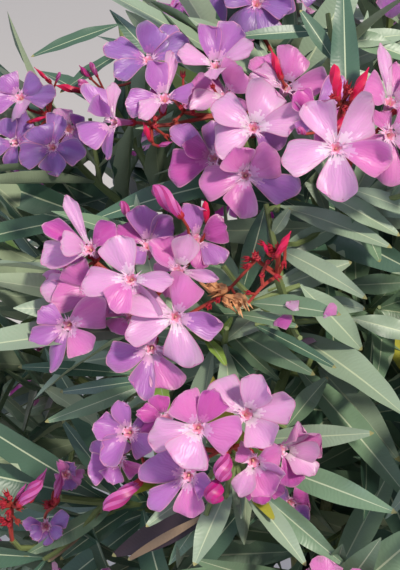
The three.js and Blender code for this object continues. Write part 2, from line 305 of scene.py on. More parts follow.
for number, mass in enumerate(masses):
    draw = Dice(SEED + 977 * (number + 1))
    heart = mass["middle"] - CROWN
    fork = CROWN + heart * FORK / SHOOT_TIP
    outwards = unit(heart)
    mass["stem"] = Bend(mass["stem_start"], mass["stem_heading"], fork, outwards)
    for shoot in mass["shoots"]:
        leaving = unit(unit(shoot["tip"] - fork) - outwards * SHOOT_SPLAY)
        shoot["path"] = Bend(fork, leaving, shoot["tip"], shoot["heading"])
        shoot["turn"] = draw() * FULL
        shoot["mass"] = mass
print("limbs:", len(limbs))

# %% [markdown]
# ## Joining thousands of small things
#
# A thousand leaves as a thousand objects would choke any program that opens the plant. Each kind of
# thing is therefore gathered in one heap and becomes one mesh, whose faces remember which material
# they take. Arrays keep this quick: one small thing is one block of points and one block of faces.

# %% A heap that becomes one mesh
MM = 0.001
FLAT = "flat"  # name of the map that lays each leaf and petal out flat, in millimetres


class Heap:
    """Gathers small closed meshes and joins them into one object."""

    def __init__(self, name, materials):
        self.name = name
        self.materials = list(materials)
        self.points, self.faces, self.slots, self.spread, self.count = [], [], [], [], 0

    def put(self, points, faces, slots, spread=None):
        """points in millimetres, faces of four or three corners, one material name for each face.

        spread tells where each point lies on the flat leaf or petal, for veins to follow.
        """
        self.points.append(points)
        self.faces.append(faces + self.count)
        if isinstance(slots, str):
            slots = np.full(len(faces), self.materials.index(slots), np.int32)
        self.slots.append(slots)
        if spread is not None:
            self.spread.append(spread)
        self.count += len(points)

    def put_tube(self, material, path, radius_at, sides, rings):
        points, faces, ends = tube(path, radius_at, sides, rings)
        self.put(points, faces, material)
        self.put(points, ends, material)

    def slot(self, name):
        return self.materials.index(name)

    def made(self, sharp=50):
        """The object. Edges that turn by more than sharp degrees stay crisp."""
        points = np.concatenate(self.points) * MM
        corners = np.concatenate([f.ravel() for f in self.faces]).astype(np.int32)
        sizes = np.concatenate([np.full(len(f), f.shape[1]) for f in self.faces]).astype(np.int32)
        starts = (np.cumsum(sizes) - sizes).astype(np.int32)
        mesh = bpy.data.meshes.new(self.name)
        mesh.vertices.add(len(points))
        mesh.vertices.foreach_set("co", points.astype(np.float32).ravel())
        mesh.loops.add(len(corners))
        mesh.loops.foreach_set("vertex_index", corners)
        mesh.polygons.add(len(sizes))
        mesh.polygons.foreach_set("loop_start", starts)
        mesh.polygons.foreach_set("material_index", np.concatenate(self.slots).astype(np.int32))
        mesh.polygons.foreach_set("use_smooth", np.ones(len(sizes), bool))
        for material in self.materials:
            mesh.materials.append(bpy.data.materials[material])
        mesh.update()
        if self.spread:
            flat = mesh.uv_layers.new(name=FLAT)
            flat.uv.foreach_set("vector", np.concatenate(self.spread)[corners].astype(np.float32).ravel())
        mesh.validate()
        mesh.set_sharp_from_angle(angle=math.radians(sharp))
        made = bpy.data.objects.new(self.name, mesh)
        bpy.context.scene.collection.objects.link(made)
        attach(made, "root")
        print(self.name, "triangles:", sum(s - 2 for s in sizes))
        return made



print("heaps hold millimetres, and their meshes are made at", MM, "of that")

# %% Faces of sheets and tubes
def grid_faces(rows, cols, closed):
    """Quads of a grid of points, row by row; closed joins the last column to the first."""
    r = np.arange(rows - 1)[:, None]
    c = np.arange(cols if closed else cols - 1)[None, :]
    a = r * cols + c
    b = r * cols + (c + 1) % cols
    return np.stack([a, b, b + cols, a + cols], axis=-1).reshape(-1, 4)


def thin_shell(rows, cols):
    """Faces of a leaf or petal: an upper and a lower grid that share their margin."""
    upper = grid_faces(rows, cols, False)
    numbers = np.arange(rows * cols).reshape(rows, cols).copy()
    inner = (rows - 2) * (cols - 2)
    numbers[1:-1, 1:-1] = rows * cols + np.arange(inner).reshape(rows - 2, cols - 2)
    lower = numbers.ravel()[upper][:, ::-1]
    return upper, lower


def cap_faces(sides):
    """Triangles that close a ring of points."""
    k = np.arange(1, sides - 1)
    return np.stack([k * 0, k, k + 1], axis=-1)


def tube(path, radius_at, sides, rings):
    """A round limb along a curve: its points, its wall's faces and those of its two ends.

    radius_at gives the radius for a share of the way and the angles around.
    """
    shares = np.linspace(0, 1, rings)
    places = path.at(shares)
    normal = square_to(unit(places[1] - places[0]))[0]
    angles = turns_of(sides)
    points = []
    for i, share in enumerate(shares):
        ahead = unit(places[min(i + 1, rings - 1)] - places[max(i - 1, 0)])
        normal = unit(normal - ahead * normal.dot(ahead))
        binormal = np.cross(ahead, normal)
        ring = np.outer(np.cos(angles), normal) + np.outer(np.sin(angles), binormal)
        points.append(places[i] + ring * np.reshape(radius_at(share, angles), (-1, 1)))
    ends = [cap_faces(sides)[:, [0, 2, 1]], cap_faces(sides) + (rings - 1) * sides]
    return np.concatenate(points), grid_faces(rings, sides, True), np.concatenate(ends)


def taper(thick, thin):
    """The radius of a limb that narrows evenly."""
    return lambda share, angles: mix(thick, thin, share)


print("faces of a tube with 6 sides and 10 rings:", len(grid_faces(10, 6, True)))

# %% [markdown]
# ## Colours
#
# Colours are picked as they look on a screen, in the web's hex notation, and Blender mixes
# light in linear values. One function turns the first into the second. One more adds a node with its
# settings and links, so that each material below reads as a short list.

# %% Colour and node helpers
def linear(hex_colour):
    parts = [int(hex_colour[i:i + 2], 16) / 255 for i in (1, 3, 5)]
    return (*[p / 12.92 if p <= 0.04045 else ((p + 0.055) / 1.055) ** 2.4 for p in parts], 1.0)


def node(tree, kind, settings=None, wires=None):
    """Adds a node. settings name its inputs or properties, wires its inputs and what feeds them."""
    made = tree.nodes.new(kind)
    for name, value in (settings or {}).items():
        if isinstance(name, int) or name in made.inputs:
            made.inputs[name].default_value = value
        else:
            setattr(made, name, value)
    for name, source in (wires or {}).items():
        tree.links.new(source, made.inputs[name])
    return made


def finish(name, colour, **settings):
    """A material with one base colour; its tree and shader come back for a pattern to be added."""
    material = bpy.data.materials.new(name)
    material.use_nodes = True
    tree = material.node_tree
    shader = tree.nodes["Principled BSDF"]
    shader.inputs["Base Color"].default_value = linear(colour)
    for key, value in settings.items():
        shader.inputs[key.replace("_", " ")].default_value = value
    return tree, shader



print("a half grey in linear light:", round(linear("#808080")[0], 3))

# %% Relief and patterns
def relief(tree, shader, height, strength, depth_mm):
    """Lets a height pattern tilt the surface, on top of any relief that is already there."""
    bump = node(tree, "ShaderNodeBump", {"Strength": strength, "Distance": depth_mm * MM},
                {"Height": height})
    if shader.inputs["Normal"].is_linked:
        tree.links.new(shader.inputs["Normal"].links[0].from_socket, bump.inputs["Normal"])
    tree.links.new(bump.outputs["Normal"], shader.inputs["Normal"])


def grain(tree, shader, size_mm, strength, depth_mm, stretch=(1, 1, 1), detail=3.0):
    """Fine relief of bumps about size_mm apart, for what is too small to model."""
    place = node(tree, "ShaderNodeTexCoord").outputs["Object"]
    scaled = node(tree, "ShaderNodeMapping", {"Scale": stretch}, {"Vector": place}).outputs["Vector"]
    noise = node(tree, "ShaderNodeTexNoise", {"Scale": 1 / (size_mm * MM), "Detail": detail},
                 {"Vector": scaled})
    relief(tree, shader, noise.outputs["Fac"], strength, depth_mm)
    return noise


def mottled(tree, shader, noise, dark, light, low, high):
    """Lets a pattern shift the base colour from dark to light between two of its levels."""
    ramp = node(tree, "ShaderNodeValToRGB", wires={"Fac": noise.outputs["Fac"]})
    for stop, level, colour in zip(ramp.color_ramp.elements, (low, high), (dark, light)):
        stop.position, stop.color = level, linear(colour)
    tree.links.new(ramp.outputs["Color"], shader.inputs["Base Color"])


VEIN_STRAY = 3.0
VEIN_DRIFT = 0.12  # waves of that straying for each millimetre


def veins(tree, shader, apart_mm, along, outward, strength, depth_mm):
    """Ribs apart_mm apart on a leaf or petal laid flat; along and outward say how they slant.

    They stray from their lines by up to VEIN_STRAY of that distance, as grown things do.
    """
    flat = node(tree, "ShaderNodeUVMap", {"uv_map": FLAT}).outputs["UV"]
    parts = node(tree, "ShaderNodeSeparateXYZ", wires={"Vector": flat})
    maths = "ShaderNodeMath"
    out = node(tree, maths, {"operation": "ABSOLUTE"}, {0: parts.outputs["Y"]})
    slant = node(tree, maths, {"operation": "MULTIPLY", 1: outward}, {0: out.outputs[0]})
    run = node(tree, maths, {"operation": "MULTIPLY_ADD", 1: along},
               {0: parts.outputs["X"], 2: slant.outputs[0]})
    drift = node(tree, "ShaderNodeTexNoise", {"Scale": VEIN_DRIFT, "Detail": 2.0}, {"Vector": flat})
    strayed = node(tree, maths, {"operation": "MULTIPLY_ADD", 1: VEIN_STRAY * apart_mm},
                   {0: drift.outputs["Fac"], 2: run.outputs[0]})
    turns = node(tree, maths, {"operation": "MULTIPLY", 1: FULL / apart_mm}, {0: strayed.outputs[0]})
    wave = node(tree, maths, {"operation": "SINE"}, {0: turns.outputs[0]})
    relief(tree, shader, wave.outputs[0], strength, depth_mm)


print("a drift of the veins is", round(1 / VEIN_DRIFT, 1), "mm long")

# %% [markdown]
# ## Petals, leaves and green wood
#
# A petal is a film of cells filled with water: light goes in, scatters and glows out again, so it is
# given subsurface scattering and a soft, broad shine. Its colour comes from sap that pools at the
# margin and in the throat, so rim and claw have their own deeper tints. A leaf is leathery, with a wax
# skin that throws back the sky: a low roughness over a greyed green. Tints are dealt out by shoot, as
# one shoot's leaves are of one age and one light.

# %% Plant materials
# The lilac and dusk tints are pink petals as they look in shade: painted shade. Set flowers give them to
# petals that lie in shade, and clusters by rule also deal the lilac out at random.
PETAL_TINTS = {"petal_rose": "#C46CA8", "petal_pink": "#CC92BE", "petal_lilac": "#A266A8",
               "petal_deep": "#B44E98", "petal_dusk": "#8860A0"}
PALER = {"petal_pink": "petal_claw", "petal_rose": "petal_pink", "petal_deep": "petal_rose",
         "petal_lilac": "petal_pink", "petal_dusk": "petal_lilac"}  # a claw is paler than its blade
PETAL_VEIN, LEAF_VEIN = 1.7, 2.4  # millimetres apart; a real leaf's side veins are closer still
soft = {"Roughness": 0.38, "IOR": 1.42, "Subsurface_Weight": 0.45, "Subsurface_Scale": 0.003,
        "Subsurface_Radius": (1.0, 0.3, 0.9), "Sheen_Weight": 0.15, "Sheen_Roughness": 0.4}
for name, colour in {**PETAL_TINTS, "petal_back": "#C06CA6", "petal_rim": "#D078AE",
                     "petal_claw": "#DDB6D2"}.items():
    tree, shader = finish(name, colour, **soft)
    grain(tree, shader, 1.4, 0.12, 0.25)
    veins(tree, shader, PETAL_VEIN, 0.06, 1.0, 0.2, 0.14)
for name, colour in {"throat_rose": "#D488A6", "crown_fringe": "#E4BAD4", "anther_cream": "#DCB79C"}.items():
    tree, shader = finish(name, colour, Roughness=0.6, IOR=1.38, Subsurface_Weight=0.2,
                          Subsurface_Scale=0.001)
    grain(tree, shader, 0.6, 0.15, 0.1)
BUD_TINTS = {"bud_crimson": "#BE1548", "bud_wine": "#AC1670", "bud_magenta": "#9E3274",
             "bud_pink": "#B65A98"}
CRIMSON, WINE, MAGENTA, BLUSH = BUD_TINTS
BUD_SEAMS = {CRIMSON: CRIMSON, WINE: MAGENTA, MAGENTA: BLUSH, BLUSH: MAGENTA}
for name, colour in BUD_TINTS.items():
    tree, shader = finish(name, colour, Roughness=0.42, IOR=1.4, Subsurface_Weight=0.2,
                          Subsurface_Scale=0.002)
    grain(tree, shader, 1.2, 0.12, 0.2)
for name, colour in {"calyx_red": "#9E2230", "stalk_red": "#95372E", "stalk_green": "#7C7F45",
                     "withered_tan": "#CC9468"}.items():
    tree, shader = finish(name, colour, Roughness=0.6, IOR=1.4)
    grain(tree, shader, 0.9, 0.25, 0.2)

# The deep green is painted shade: it goes to leaves that lie in shade and to the heart of the crown.
LEAF_TINTS = {"leaf_sage": "#879A83", "leaf_green": "#6B8669", "leaf_deep": "#466450",
              "leaf_young": "#8AA84E"}
WORN_TINTS = {"leaf_yellow": "#9C9A34", "leaf_brown": "#30242C", "leaf_dry": "#7C6852",
              "leaf_tip": "#8E8C5C"}
for name, colour in LEAF_TINTS.items():
    tree, shader = finish(name, colour, Roughness=0.4, IOR=1.48, Coat_Weight=0.2, Coat_Roughness=0.4)
    grain(tree, shader, 2.2, 0.15, 0.3)
    veins(tree, shader, LEAF_VEIN, 1.0, -0.5, 0.15, 0.16)
for name, colour in {"leaf_underside": "#97A78A", **WORN_TINTS}.items():
    tree, shader = finish(name, colour, Roughness=0.6, IOR=1.42)
    grain(tree, shader, 1.6, 0.25, 0.3)
    veins(tree, shader, LEAF_VEIN, 1.0, -0.5, 0.15, 0.16)
tree, shader = finish("leaf_midrib", "#B0BC9C", Roughness=0.5, IOR=1.42)
grain(tree, shader, 1.6, 0.25, 0.3)
tree, shader = finish("green_wood", "#6E7C4C", Roughness=0.55, IOR=1.42)
grain(tree, shader, 1.2, 0.4, 0.4)
print("plant materials:", len(bpy.data.materials))

# %% [markdown]
# ## A leaf
#
# An oleander leaf is a lance 11 to 14 centimetres long and about 2 wide, folded a little along a pale
# midrib and bowed along its length. We make it as a closed thin shell, thickest at the midrib and
# nothing at the margin, because a single sheet would have no body from the side.

# %% Leaf shape
RIB = 0.05  # half the midrib's share of the leaf's width
PLAIN_COLUMNS = np.array([-1, -0.55, -RIB, RIB, 0.55, 1])
NEAR_COLUMNS = np.array([-1, -0.8, -0.45, -RIB, RIB, 0.45, 0.8, 1])
POINTED_ROWS = 20  # a leaf with more rows than this has faces small enough for a dry point
LEAF_MATERIALS = [*LEAF_TINTS, "leaf_underside", "leaf_midrib", *WORN_TINTS]
LEAF_BODY = 0.9  # thickness at the midrib
STALK_HALF, POINT_HALF = 0.9, 0.25  # half the breadth at the leaf's root and at its point
WAVES, WAVE_SHARE = 17, 0.12  # waves of the margin, and their height for each breadth


class LeafKind:
    """The faces that all leaves of one fineness share."""

    def __init__(self, rows, columns):
        self.rows, self.v = rows, columns
        self.u = np.linspace(0, 1, rows)
        upper, lower = thin_shell(rows, len(columns))
        self.faces = np.concatenate([upper, lower])
        strip = np.tile(np.arange(len(columns) - 1), rows - 1)
        self.rib = np.concatenate([strip == len(columns) // 2 - 1] * 2)
        last = np.repeat(np.arange(rows - 1), len(columns) - 1) == rows - 2
        self.point = np.concatenate([last & (rows > POINTED_ROWS)] * 2)
        self.under = np.arange(len(self.faces)) >= len(upper)


PLAIN_LEAF, NEAR_LEAF = LeafKind(8, PLAIN_COLUMNS), LeafKind(16, PLAIN_COLUMNS)
SET_LEAF = LeafKind(30, NEAR_COLUMNS)
print("faces of a leaf:", [len(kind.faces) for kind in (PLAIN_LEAF, NEAR_LEAF, SET_LEAF)])

# %% Growing a leaf
def grow_leaf(heap, kind, root, forward, face, length, width, droop, keel, twist, wave, tint,
              to_tip=False):
    """One leaf from its root along forward, with its upper side towards face.

    With to_tip, the drooping leaf still ends length away along forward. Returns its spine and the
    directions square to it.
    """
    u = kind.u[:, None]
    v = kind.v[None, :]
    bend = droop * kind.u**1.3
    step = length / (kind.rows - 1)
    along = np.concatenate([[0], np.cumsum(np.cos((bend[1:] + bend[:-1]) / 2))]) * step
    fall = np.concatenate([[0], np.cumsum(np.sin((bend[1:] + bend[:-1]) / 2))]) * step
    if to_tip:
        raised, chord = math.atan2(fall[-1], along[-1]), math.hypot(fall[-1], along[-1])
        along, fall = along * length / chord, fall * length / chord
        forward, face = (math.cos(raised) * forward + math.sin(raised) * face,
                         math.cos(raised) * face - math.sin(raised) * forward)
    outline = np.sin(np.pi * np.clip((u - 0.03) / 0.97, 0, 1) ** 0.92) ** 1.05
    half = STALK_HALF + (width / 2 - STALK_HALF) * outline
    half[-1] = POINT_HALF
    side = np.cross(face, forward)
    turn = (twist * u)[..., None]
    ahead = np.cos(bend)[:, None, None] * forward - np.sin(bend)[:, None, None] * face
    normal = np.sin(bend)[:, None, None] * forward + np.cos(bend)[:, None, None] * face
    across = np.cos(turn) * side + np.sin(turn) * normal
    normal = np.cross(ahead, across)
    spine = root + along[:, None, None] * forward - fall[:, None, None] * face
    ripple = wave * np.sin(u * WAVES + root[0]) * v**3 * half * WAVE_SHARE
    lifted = np.abs(v) * half * math.sin(keel) + ripple
    top = spine + (v * half * math.cos(keel))[..., None] * across + lifted[..., None] * normal
    body = LEAF_BODY * (1 - v**2) * np.minimum(1, 6 * (1 - u)) * np.minimum(1, 0.5 + 6 * u)
    bottom = top - body[..., None] * normal
    points = np.concatenate([top.reshape(-1, 3), bottom[1:-1, 1:-1].reshape(-1, 3)])
    slots = np.full(len(kind.faces), heap.slot(tint))
    slots[kind.under] = heap.slot("leaf_underside" if tint in LEAF_TINTS else tint)
    slots[kind.rib] = heap.slot("leaf_midrib" if tint in LEAF_TINTS else tint)
    slots[kind.point] = heap.slot("leaf_tip")
    flat = np.stack([np.broadcast_to(u * length, top.shape[:2]), v * half], axis=-1)
    spread = np.concatenate([flat.reshape(-1, 2), flat[1:-1, 1:-1].reshape(-1, 2)])
    heap.put(points, kind.faces, slots, spread)
    return spine[:, 0], normal[:, 0]


print("leaf finishes:", len(LEAF_MATERIALS))

# %% [markdown]
# ## A flower
#
# Five petals open from the mouth of a narrow tube like the blades of a propeller: each is broad and
# blunt at the tip, a stalk-like claw at the base, and lopsided, so that the flower seems to turn. A
# fringe of pale teeth stands at each claw around a cone of anthers. Petals are soft, so each gets its
# own pitch, roll, curl and frill from the draws.

# %% Petal and flower shape
class PetalKind:
    """The grid that all petals of one fineness share, with narrow strips along both margins."""

    def __init__(self, rows, cols):
        self.u = np.concatenate([np.linspace(0, 0.97, rows - 1) ** 0.9, [1]])
        self.v = np.concatenate([[-1], np.linspace(-0.93, 0.93, cols - 2), [1]])
        upper, lower = thin_shell(rows, cols)
        self.faces = np.concatenate([upper, lower])
        strip = np.tile(np.arange(cols - 1), rows - 1)
        row = np.repeat(np.arange(rows - 1), cols - 1)
        rim = (strip == 0) | (strip == cols - 2) | (row == rows - 2)
        middle = np.abs(self.v[strip] + self.v[strip + 1]) / 2
        claw = self.u[row + 1] < 0.12 + 0.17 * (1 - middle) + 0.06 * (strip % 2)
        self.rim = np.concatenate([rim & ~claw] * 2)
        self.claw = np.concatenate([claw] * 2)
        self.under = np.arange(len(self.faces)) >= len(upper)


PLAIN_PETAL, NEAR_PETAL = PetalKind(7, 7), PetalKind(16, 13)
PETALS = 5
MOUTH = 2.5  # radius of the tube's mouth
TUBE_LENGTH = 17.0
FLOWER_RADIUS = 24.0
PETAL_WIDTH = 20.0
PETAL_BODY = 0.5  # thickness along the middle; a real petal's is half of it
CLAW = 0.27  # the claw's share of the petal's width


def petal_surface(kind, length, width, draw, wild=1.0, sweep=0.11):
    """One petal along +X from its claw at the origin, upper side up.

    Wild scales how far it curls, folds and twists, and sweep how far its tip turns aside. Returns
    its points and their places on the petal laid flat.
    """
    u, v = kind.u[:, None], kind.v[None, :]
    curl, fold = draw.around(0.35, 0.95) * wild, draw.around(0, 0.6) * wild
    twist, reflex = draw.around(0.08, 0.45) * wild, draw.around(0.05, 0.11) * wild
    frill, phase = draw.around(0.8, 0.4), draw() * ANYWHERE
    blade = CLAW + (1 - CLAW) * np.sin(np.pi / 2 * np.clip((u - 0.03) / 0.82, 0, 1) ** 1.2)
    half = width / 2 * blade * (1 - 0.4 * np.clip((u - 0.84) / 0.16, 0, 1) ** 2)
    bow = curl * (0.3 + 0.7 * u)
    bow = np.where(np.abs(bow) < 1e-3, 1e-3, bow)
    across = half * np.sin(bow * v) / bow
    rise = half * (1 - np.cos(bow * v)) / bow + fold * half * np.maximum(0, np.sign(fold) * v - 0.1) * u
    turn = twist * u
    corner = draw.around(0.1, 0.09)
    along = length * (u * (1 - 0.13 * v**2 * u**3) + corner * v * u**2)
    funnel = 2.4 * (1 - (1 - np.clip(u / 0.45, 0, 1)) ** 2) - 1.4
    height = funnel - reflex * length * u**3 + across * np.sin(turn) + rise * np.cos(turn)
    for margin in (-1, 1):
        slant, start = draw.around(0.3, 0.6), draw.around(0.25, 0.25)
        beyond = np.clip(margin * v + slant * (2 * u - 1.3) - start, 0, 1.2) * half
        height = height + draw.around(0.1, 0.55) * wild * beyond
    height = height + frill * np.sin(7.5 * u + phase) * np.abs(v) ** 2.5 * u
    height = height + frill * 0.8 * np.sin(8 * v + phase) * u**4
    height = height + 0.3 * np.cos(9 * v + phase) * (1 - u) * np.minimum(1, 5 * u)
    aside = across * np.cos(turn) - rise * np.sin(turn) + sweep * length * u**2
    top = np.stack([along, aside, height], axis=-1)
    body = PETAL_BODY * (1 - v**2) * np.minimum(1, 4 * (1 - u)) * np.minimum(1, 0.3 + 4 * u)
    bottom = top - np.stack([body * 0, body * 0, body], axis=-1)
    flat = np.stack([u * length + 0 * v, v * PETAL_WIDTH / 2 + 0 * u], axis=-1)
    points = np.concatenate([top.reshape(-1, 3), bottom[1:-1, 1:-1].reshape(-1, 3)])
    return points, np.concatenate([flat.reshape(-1, 2), flat[1:-1, 1:-1].reshape(-1, 2)])


def petal_slots(heap, kind, tint):
    slots = np.full(len(kind.faces), heap.slot(tint))
    slots[kind.under] = heap.slot("petal_back")
    slots[kind.rim] = heap.slot("petal_rim")
    slots[kind.claw] = heap.slot(PALER[tint])
    return slots



print("faces of a petal:", [len(kind.faces) for kind in (PLAIN_PETAL, NEAR_PETAL)])

# %% Turning, spikes and directions
def turned(points, axis, angle):
    """Points turned about a main axis through the origin."""
    c, s = math.cos(angle), math.sin(angle)
    spin = {"x": [[1, 0, 0], [0, c, -s], [0, s, c]], "y": [[c, 0, s], [0, 1, 0], [-s, 0, c]],
            "z": [[c, -s, 0], [s, c, 0], [0, 0, 1]]}[axis]
    return points @ np.array(spin).T


def lathe(profile, sides):
    """Points and faces of a turned shape, its profile given as radius and height."""
    rings = [ring_at(radius, turns_of(sides), height) for radius, height in profile]
    return np.concatenate(rings), grid_faces(len(profile), sides, True)


def spike(root, tip, width, sides=3):
    """A slender closed spike."""
    side, top = square_to(unit(tip - root))
    angles = turns_of(sides)
    ring = root + width * (np.outer(np.cos(angles), side) + np.outer(np.sin(angles), top))
    faces = [[i, (i + 1) % sides, sides] for i in range(sides)]
    faces += [[i + 2, i + 1, 0] for i in range(sides - 2)]
    return np.concatenate([ring, [tip]]), np.array(faces)


def basis(axis, roll_direction):
    """A matrix whose Z is the axis and whose X leans towards roll_direction."""
    x = unit(roll_direction - axis * roll_direction.dot(axis))
    return np.array([x, np.cross(axis, x), axis])



print("corners of a spike:", len(spike(UP, UP * 2, 1)[0]))

# %% Petals and heart
def grow_petals(heap, centre, axis, roll_direction, radius, draw, tint):
    """The five petals of a flower that no set place tells apart."""
    spin = basis(axis, roll_direction)
    scale = radius / FLOWER_RADIUS
    cup = draw.around(0.2, 0.14)
    for k in range(PETALS):
        shape, flat = petal_surface(PLAIN_PETAL, (FLOWER_RADIUS - MOUTH) * draw.around(1, 0.05),
                                    draw.around(PETAL_WIDTH, 1.4), draw)
        shape = turned(turned(shape, "x", draw.around(0.14, 0.24)), "y", -draw.around(cup, 0.22))
        shape = turned(shape + [MOUTH, 0, 0], "z", k * FULL / PETALS + draw.around(0, 0.1)) * scale
        heap.put(shape @ spin + centre, PLAIN_PETAL.faces, petal_slots(heap, PLAIN_PETAL, tint), flat)


HEART_SIDES = 10
TUBE_OUTSIDE = [(1.5, -TUBE_LENGTH), (1.7, -11), (2.4, -6), (3.0, -2.9), (3.5, -1.7)]  # radius, height
TUBE_INSIDE = [(3.1, -1.3), (2.2, -2.2), (1.4, -3.8), (0.2, -5.4)]
FOLD_IN, FOLD_DOWN = 0.88, 0.4  # between the petals the funnel folds inwards and down
TEETH_APART, TOOTH_WIDTH = 0.2, 0.6
ANTHER_FOOT, ANTHER_TIP, ANTHER_WIDTH = -4.6, 0.2, 0.8


def grow_heart(heaps, centre, axis, roll_direction, scale, draw, near):
    """A flower's tube, throat, fringe, anthers and calyx. Returns the place where its stalk ends."""
    spin = basis(axis, roll_direction)
    hearts = heaps["hearts"]
    points, faces = lathe(TUBE_OUTSIDE + TUBE_INSIDE, HEART_SIDES)
    points[1::2, :2] *= FOLD_IN
    points[1::2, 2] -= FOLD_DOWN
    band, sector = np.arange(len(faces)) // HEART_SIDES, np.arange(len(faces)) % HEART_SIDES
    slots = np.full(len(faces), hearts.slot("petal_back"))
    slots[band >= len(TUBE_OUTSIDE)] = hearts.slot("throat_rose")
    slots[(band == len(TUBE_OUTSIDE)) & (sector % 2 == 0)] = hearts.slot("petal_claw")
    hearts.put(points * scale @ spin + centre, faces, slots)
    teeth = 4 if near else 2
    for k in range(PETALS):
        for j in range(teeth):
            turn = k * FULL / PETALS + (j - (teeth - 1) / 2) * TEETH_APART + draw.around(0, 0.05)
            root = sideways_by(turn, 3.0, -1.2)
            tip = sideways_by(turn, draw.around(5.8, 1.6), draw.around(1.5, 0.5))
            points, faces = spike(root, tip, TOOTH_WIDTH)
            hearts.put(points * scale @ spin + centre, faces, "crown_fringe")
    points, faces = spike(UP * ANTHER_FOOT, UP * ANTHER_TIP, ANTHER_WIDTH, 6)
    hearts.put(points * scale @ spin + centre, faces, "anther_cream")
    base = centre - axis * TUBE_LENGTH * scale
    grow_calyx(heaps["calyxes"], base, axis, roll_direction, scale)
    return base


print("flower across:", 2 * FLOWER_RADIUS, "mm")

# %% Calyx, bud and stalk
CALYX_CUP = [(0.4, -1.6), (1.6, -1.0), (2.1, 0.4), (1.9, 1.6), (0.4, 1.8)]  # radius, height
CALYX_SIDES, SEPAL_WIDTH = 8, 0.9


def grow_calyx(heap, base, axis, roll_direction, scale, material="calyx_red"):
    """Five pointed sepals that hold the foot of a tube or bud."""
    spin = basis(axis, roll_direction)
    points, faces = lathe(CALYX_CUP, CALYX_SIDES)
    heap.put(points * scale @ spin + base, faces, material)
    for k in range(PETALS):
        turn = k * FULL / PETALS
        points, faces = spike(sideways_by(turn, 1.4, 0), sideways_by(turn, 2.2, 5.4), SEPAL_WIDTH)
        heap.put(points * scale @ spin + base, faces, material)


BUD_RINGS, BUD_SIDES = 10, 10
BLUNT = 0.16  # a bud fatter than this share of its length is blunt, one that is about to open
BUD_FOOT = 0.42  # the foot's share of the bud's full radius
BUD_POINT = 0.25  # its least radius
SEAM, FURL = 0.12, 2.2  # how far the seams stand out, and how far they turn around the bud


def grow_bud(heaps, base, axis, length, fat, tint):
    """A furled bud: a spindle with the twisted seams of its five rolled petals."""
    side, buds = square_to(axis)[0], heaps["buds"]
    spin = basis(axis, side)
    angles = turns_of(BUD_SIDES)
    seam = 1 + SEAM * np.cos(PETALS * angles)
    blunt = fat > BLUNT * length
    points = []
    for share in np.linspace(0, 1, BUD_RINGS) ** (0.8 if blunt else 1.0):
        if blunt:
            swell, ending = math.sin(math.pi / 2 * min(1, share * 1.4)), math.sqrt(1 - share**5)
        else:
            swell, ending = math.sin(math.pi * min(1, share * 1.08) ** 1.3), 1 - share**4
        radius = fat * (BUD_FOOT + (1 - BUD_FOOT) * swell) * ending
        points.append(ring_at(max(BUD_POINT, radius) * seam, angles + share * FURL, share * length))
    faces = grid_faces(BUD_RINGS, BUD_SIDES, True)
    slots = np.where(np.arange(len(faces)) % 2, buds.slot(BUD_SEAMS[tint]), buds.slot(tint))
    buds.put(np.concatenate(points) @ spin + base, faces, slots)
    buds.put(points[-1] @ spin + base, cap_faces(BUD_SIDES), tint)
    grow_calyx(heaps["calyxes"], base, axis, side, min(1, length / 20))


def grow_stalk(heap, start, leaving, end, arriving, thick, thin, material="stalk_red", rings=6):
    heap.put_tube(material, Bend(start, leaving, end, arriving), taper(thick, thin), 6, rings)


print("rings of a calyx:", len(CALYX_CUP))

# %% [markdown]
# ## Where the photographer stood
#
# The camera looks down on the front of the crown from close by, through a lens a little longer than
# normal, which keeps petals in proportion. We fix it before the flowers, because the clusters in
# front of it are laid out as seen from there.

# %% Camera
VIEW_MIDDLE = np.array([-130.0, -170.0, 860.0])
VIEW_HEIGHT = math.radians(35)  # the camera looks down by this much
VIEW_DISTANCE = 610.0
LENS, SENSOR = 80, 36
PICTURE = (400, 570)
LOOK = np.array([0, math.cos(VIEW_HEIGHT), -math.sin(VIEW_HEIGHT)])
LOOK_UP = np.array([0, math.sin(VIEW_HEIGHT), math.cos(VIEW_HEIGHT)])
EYE = VIEW_MIDDLE - LOOK * VIEW_DISTANCE
PIXEL = SENSOR / LENS / PICTURE[1]  # width of a pixel at a distance of 1

camera = bpy.data.objects.new("camera", bpy.data.cameras.new("camera"))
bpy.context.scene.collection.objects.link(camera)
camera.data.lens = LENS
camera.data.sensor_width = SENSOR
camera.location = Vector(EYE * MM)
camera.rotation_euler = (math.pi / 2 - VIEW_HEIGHT, 0, 0)
bpy.context.scene.camera = camera


def seen_at(x, y, depth):
    """The place in millimetres that shows at a pixel of the picture, at a depth from the camera."""
    ray = LOOK + SIDE * (x - PICTURE[0] / 2) * PIXEL + LOOK_UP * (PICTURE[1] / 2 - y) * PIXEL
    return EYE + ray * depth


def depth_of(place):
    return (place - EYE).dot(LOOK)


def on_picture(place):
    """Where a place shows in the picture: x, y and depth."""
    depth = depth_of(place)
    away = (place - EYE) / (depth * PIXEL)
    return PICTURE[0] / 2 + away.dot(SIDE), PICTURE[1] / 2 - away.dot(LOOK_UP), depth


print("camera stands at:", EYE.round())

# %% [markdown]
# ## Clusters that face the camera
#
# The flowers nearest the camera are set petal by petal, because their overlaps make the picture. For
# each flower we say where its mouth lies in the picture and how far it stands in front of its shoot's
# tip, then where each petal's end lies, how broad it looks, and whether it leans to the camera or
# away. A petal has a set length, so the less of it the picture shows, the more it leans. Every flower
# still grows on a stalk from its own shoot.

# %% Set flowers
ROSE, PINK, LILAC_SHADE, DEEP, SHADOWED_PETAL = PETAL_TINTS
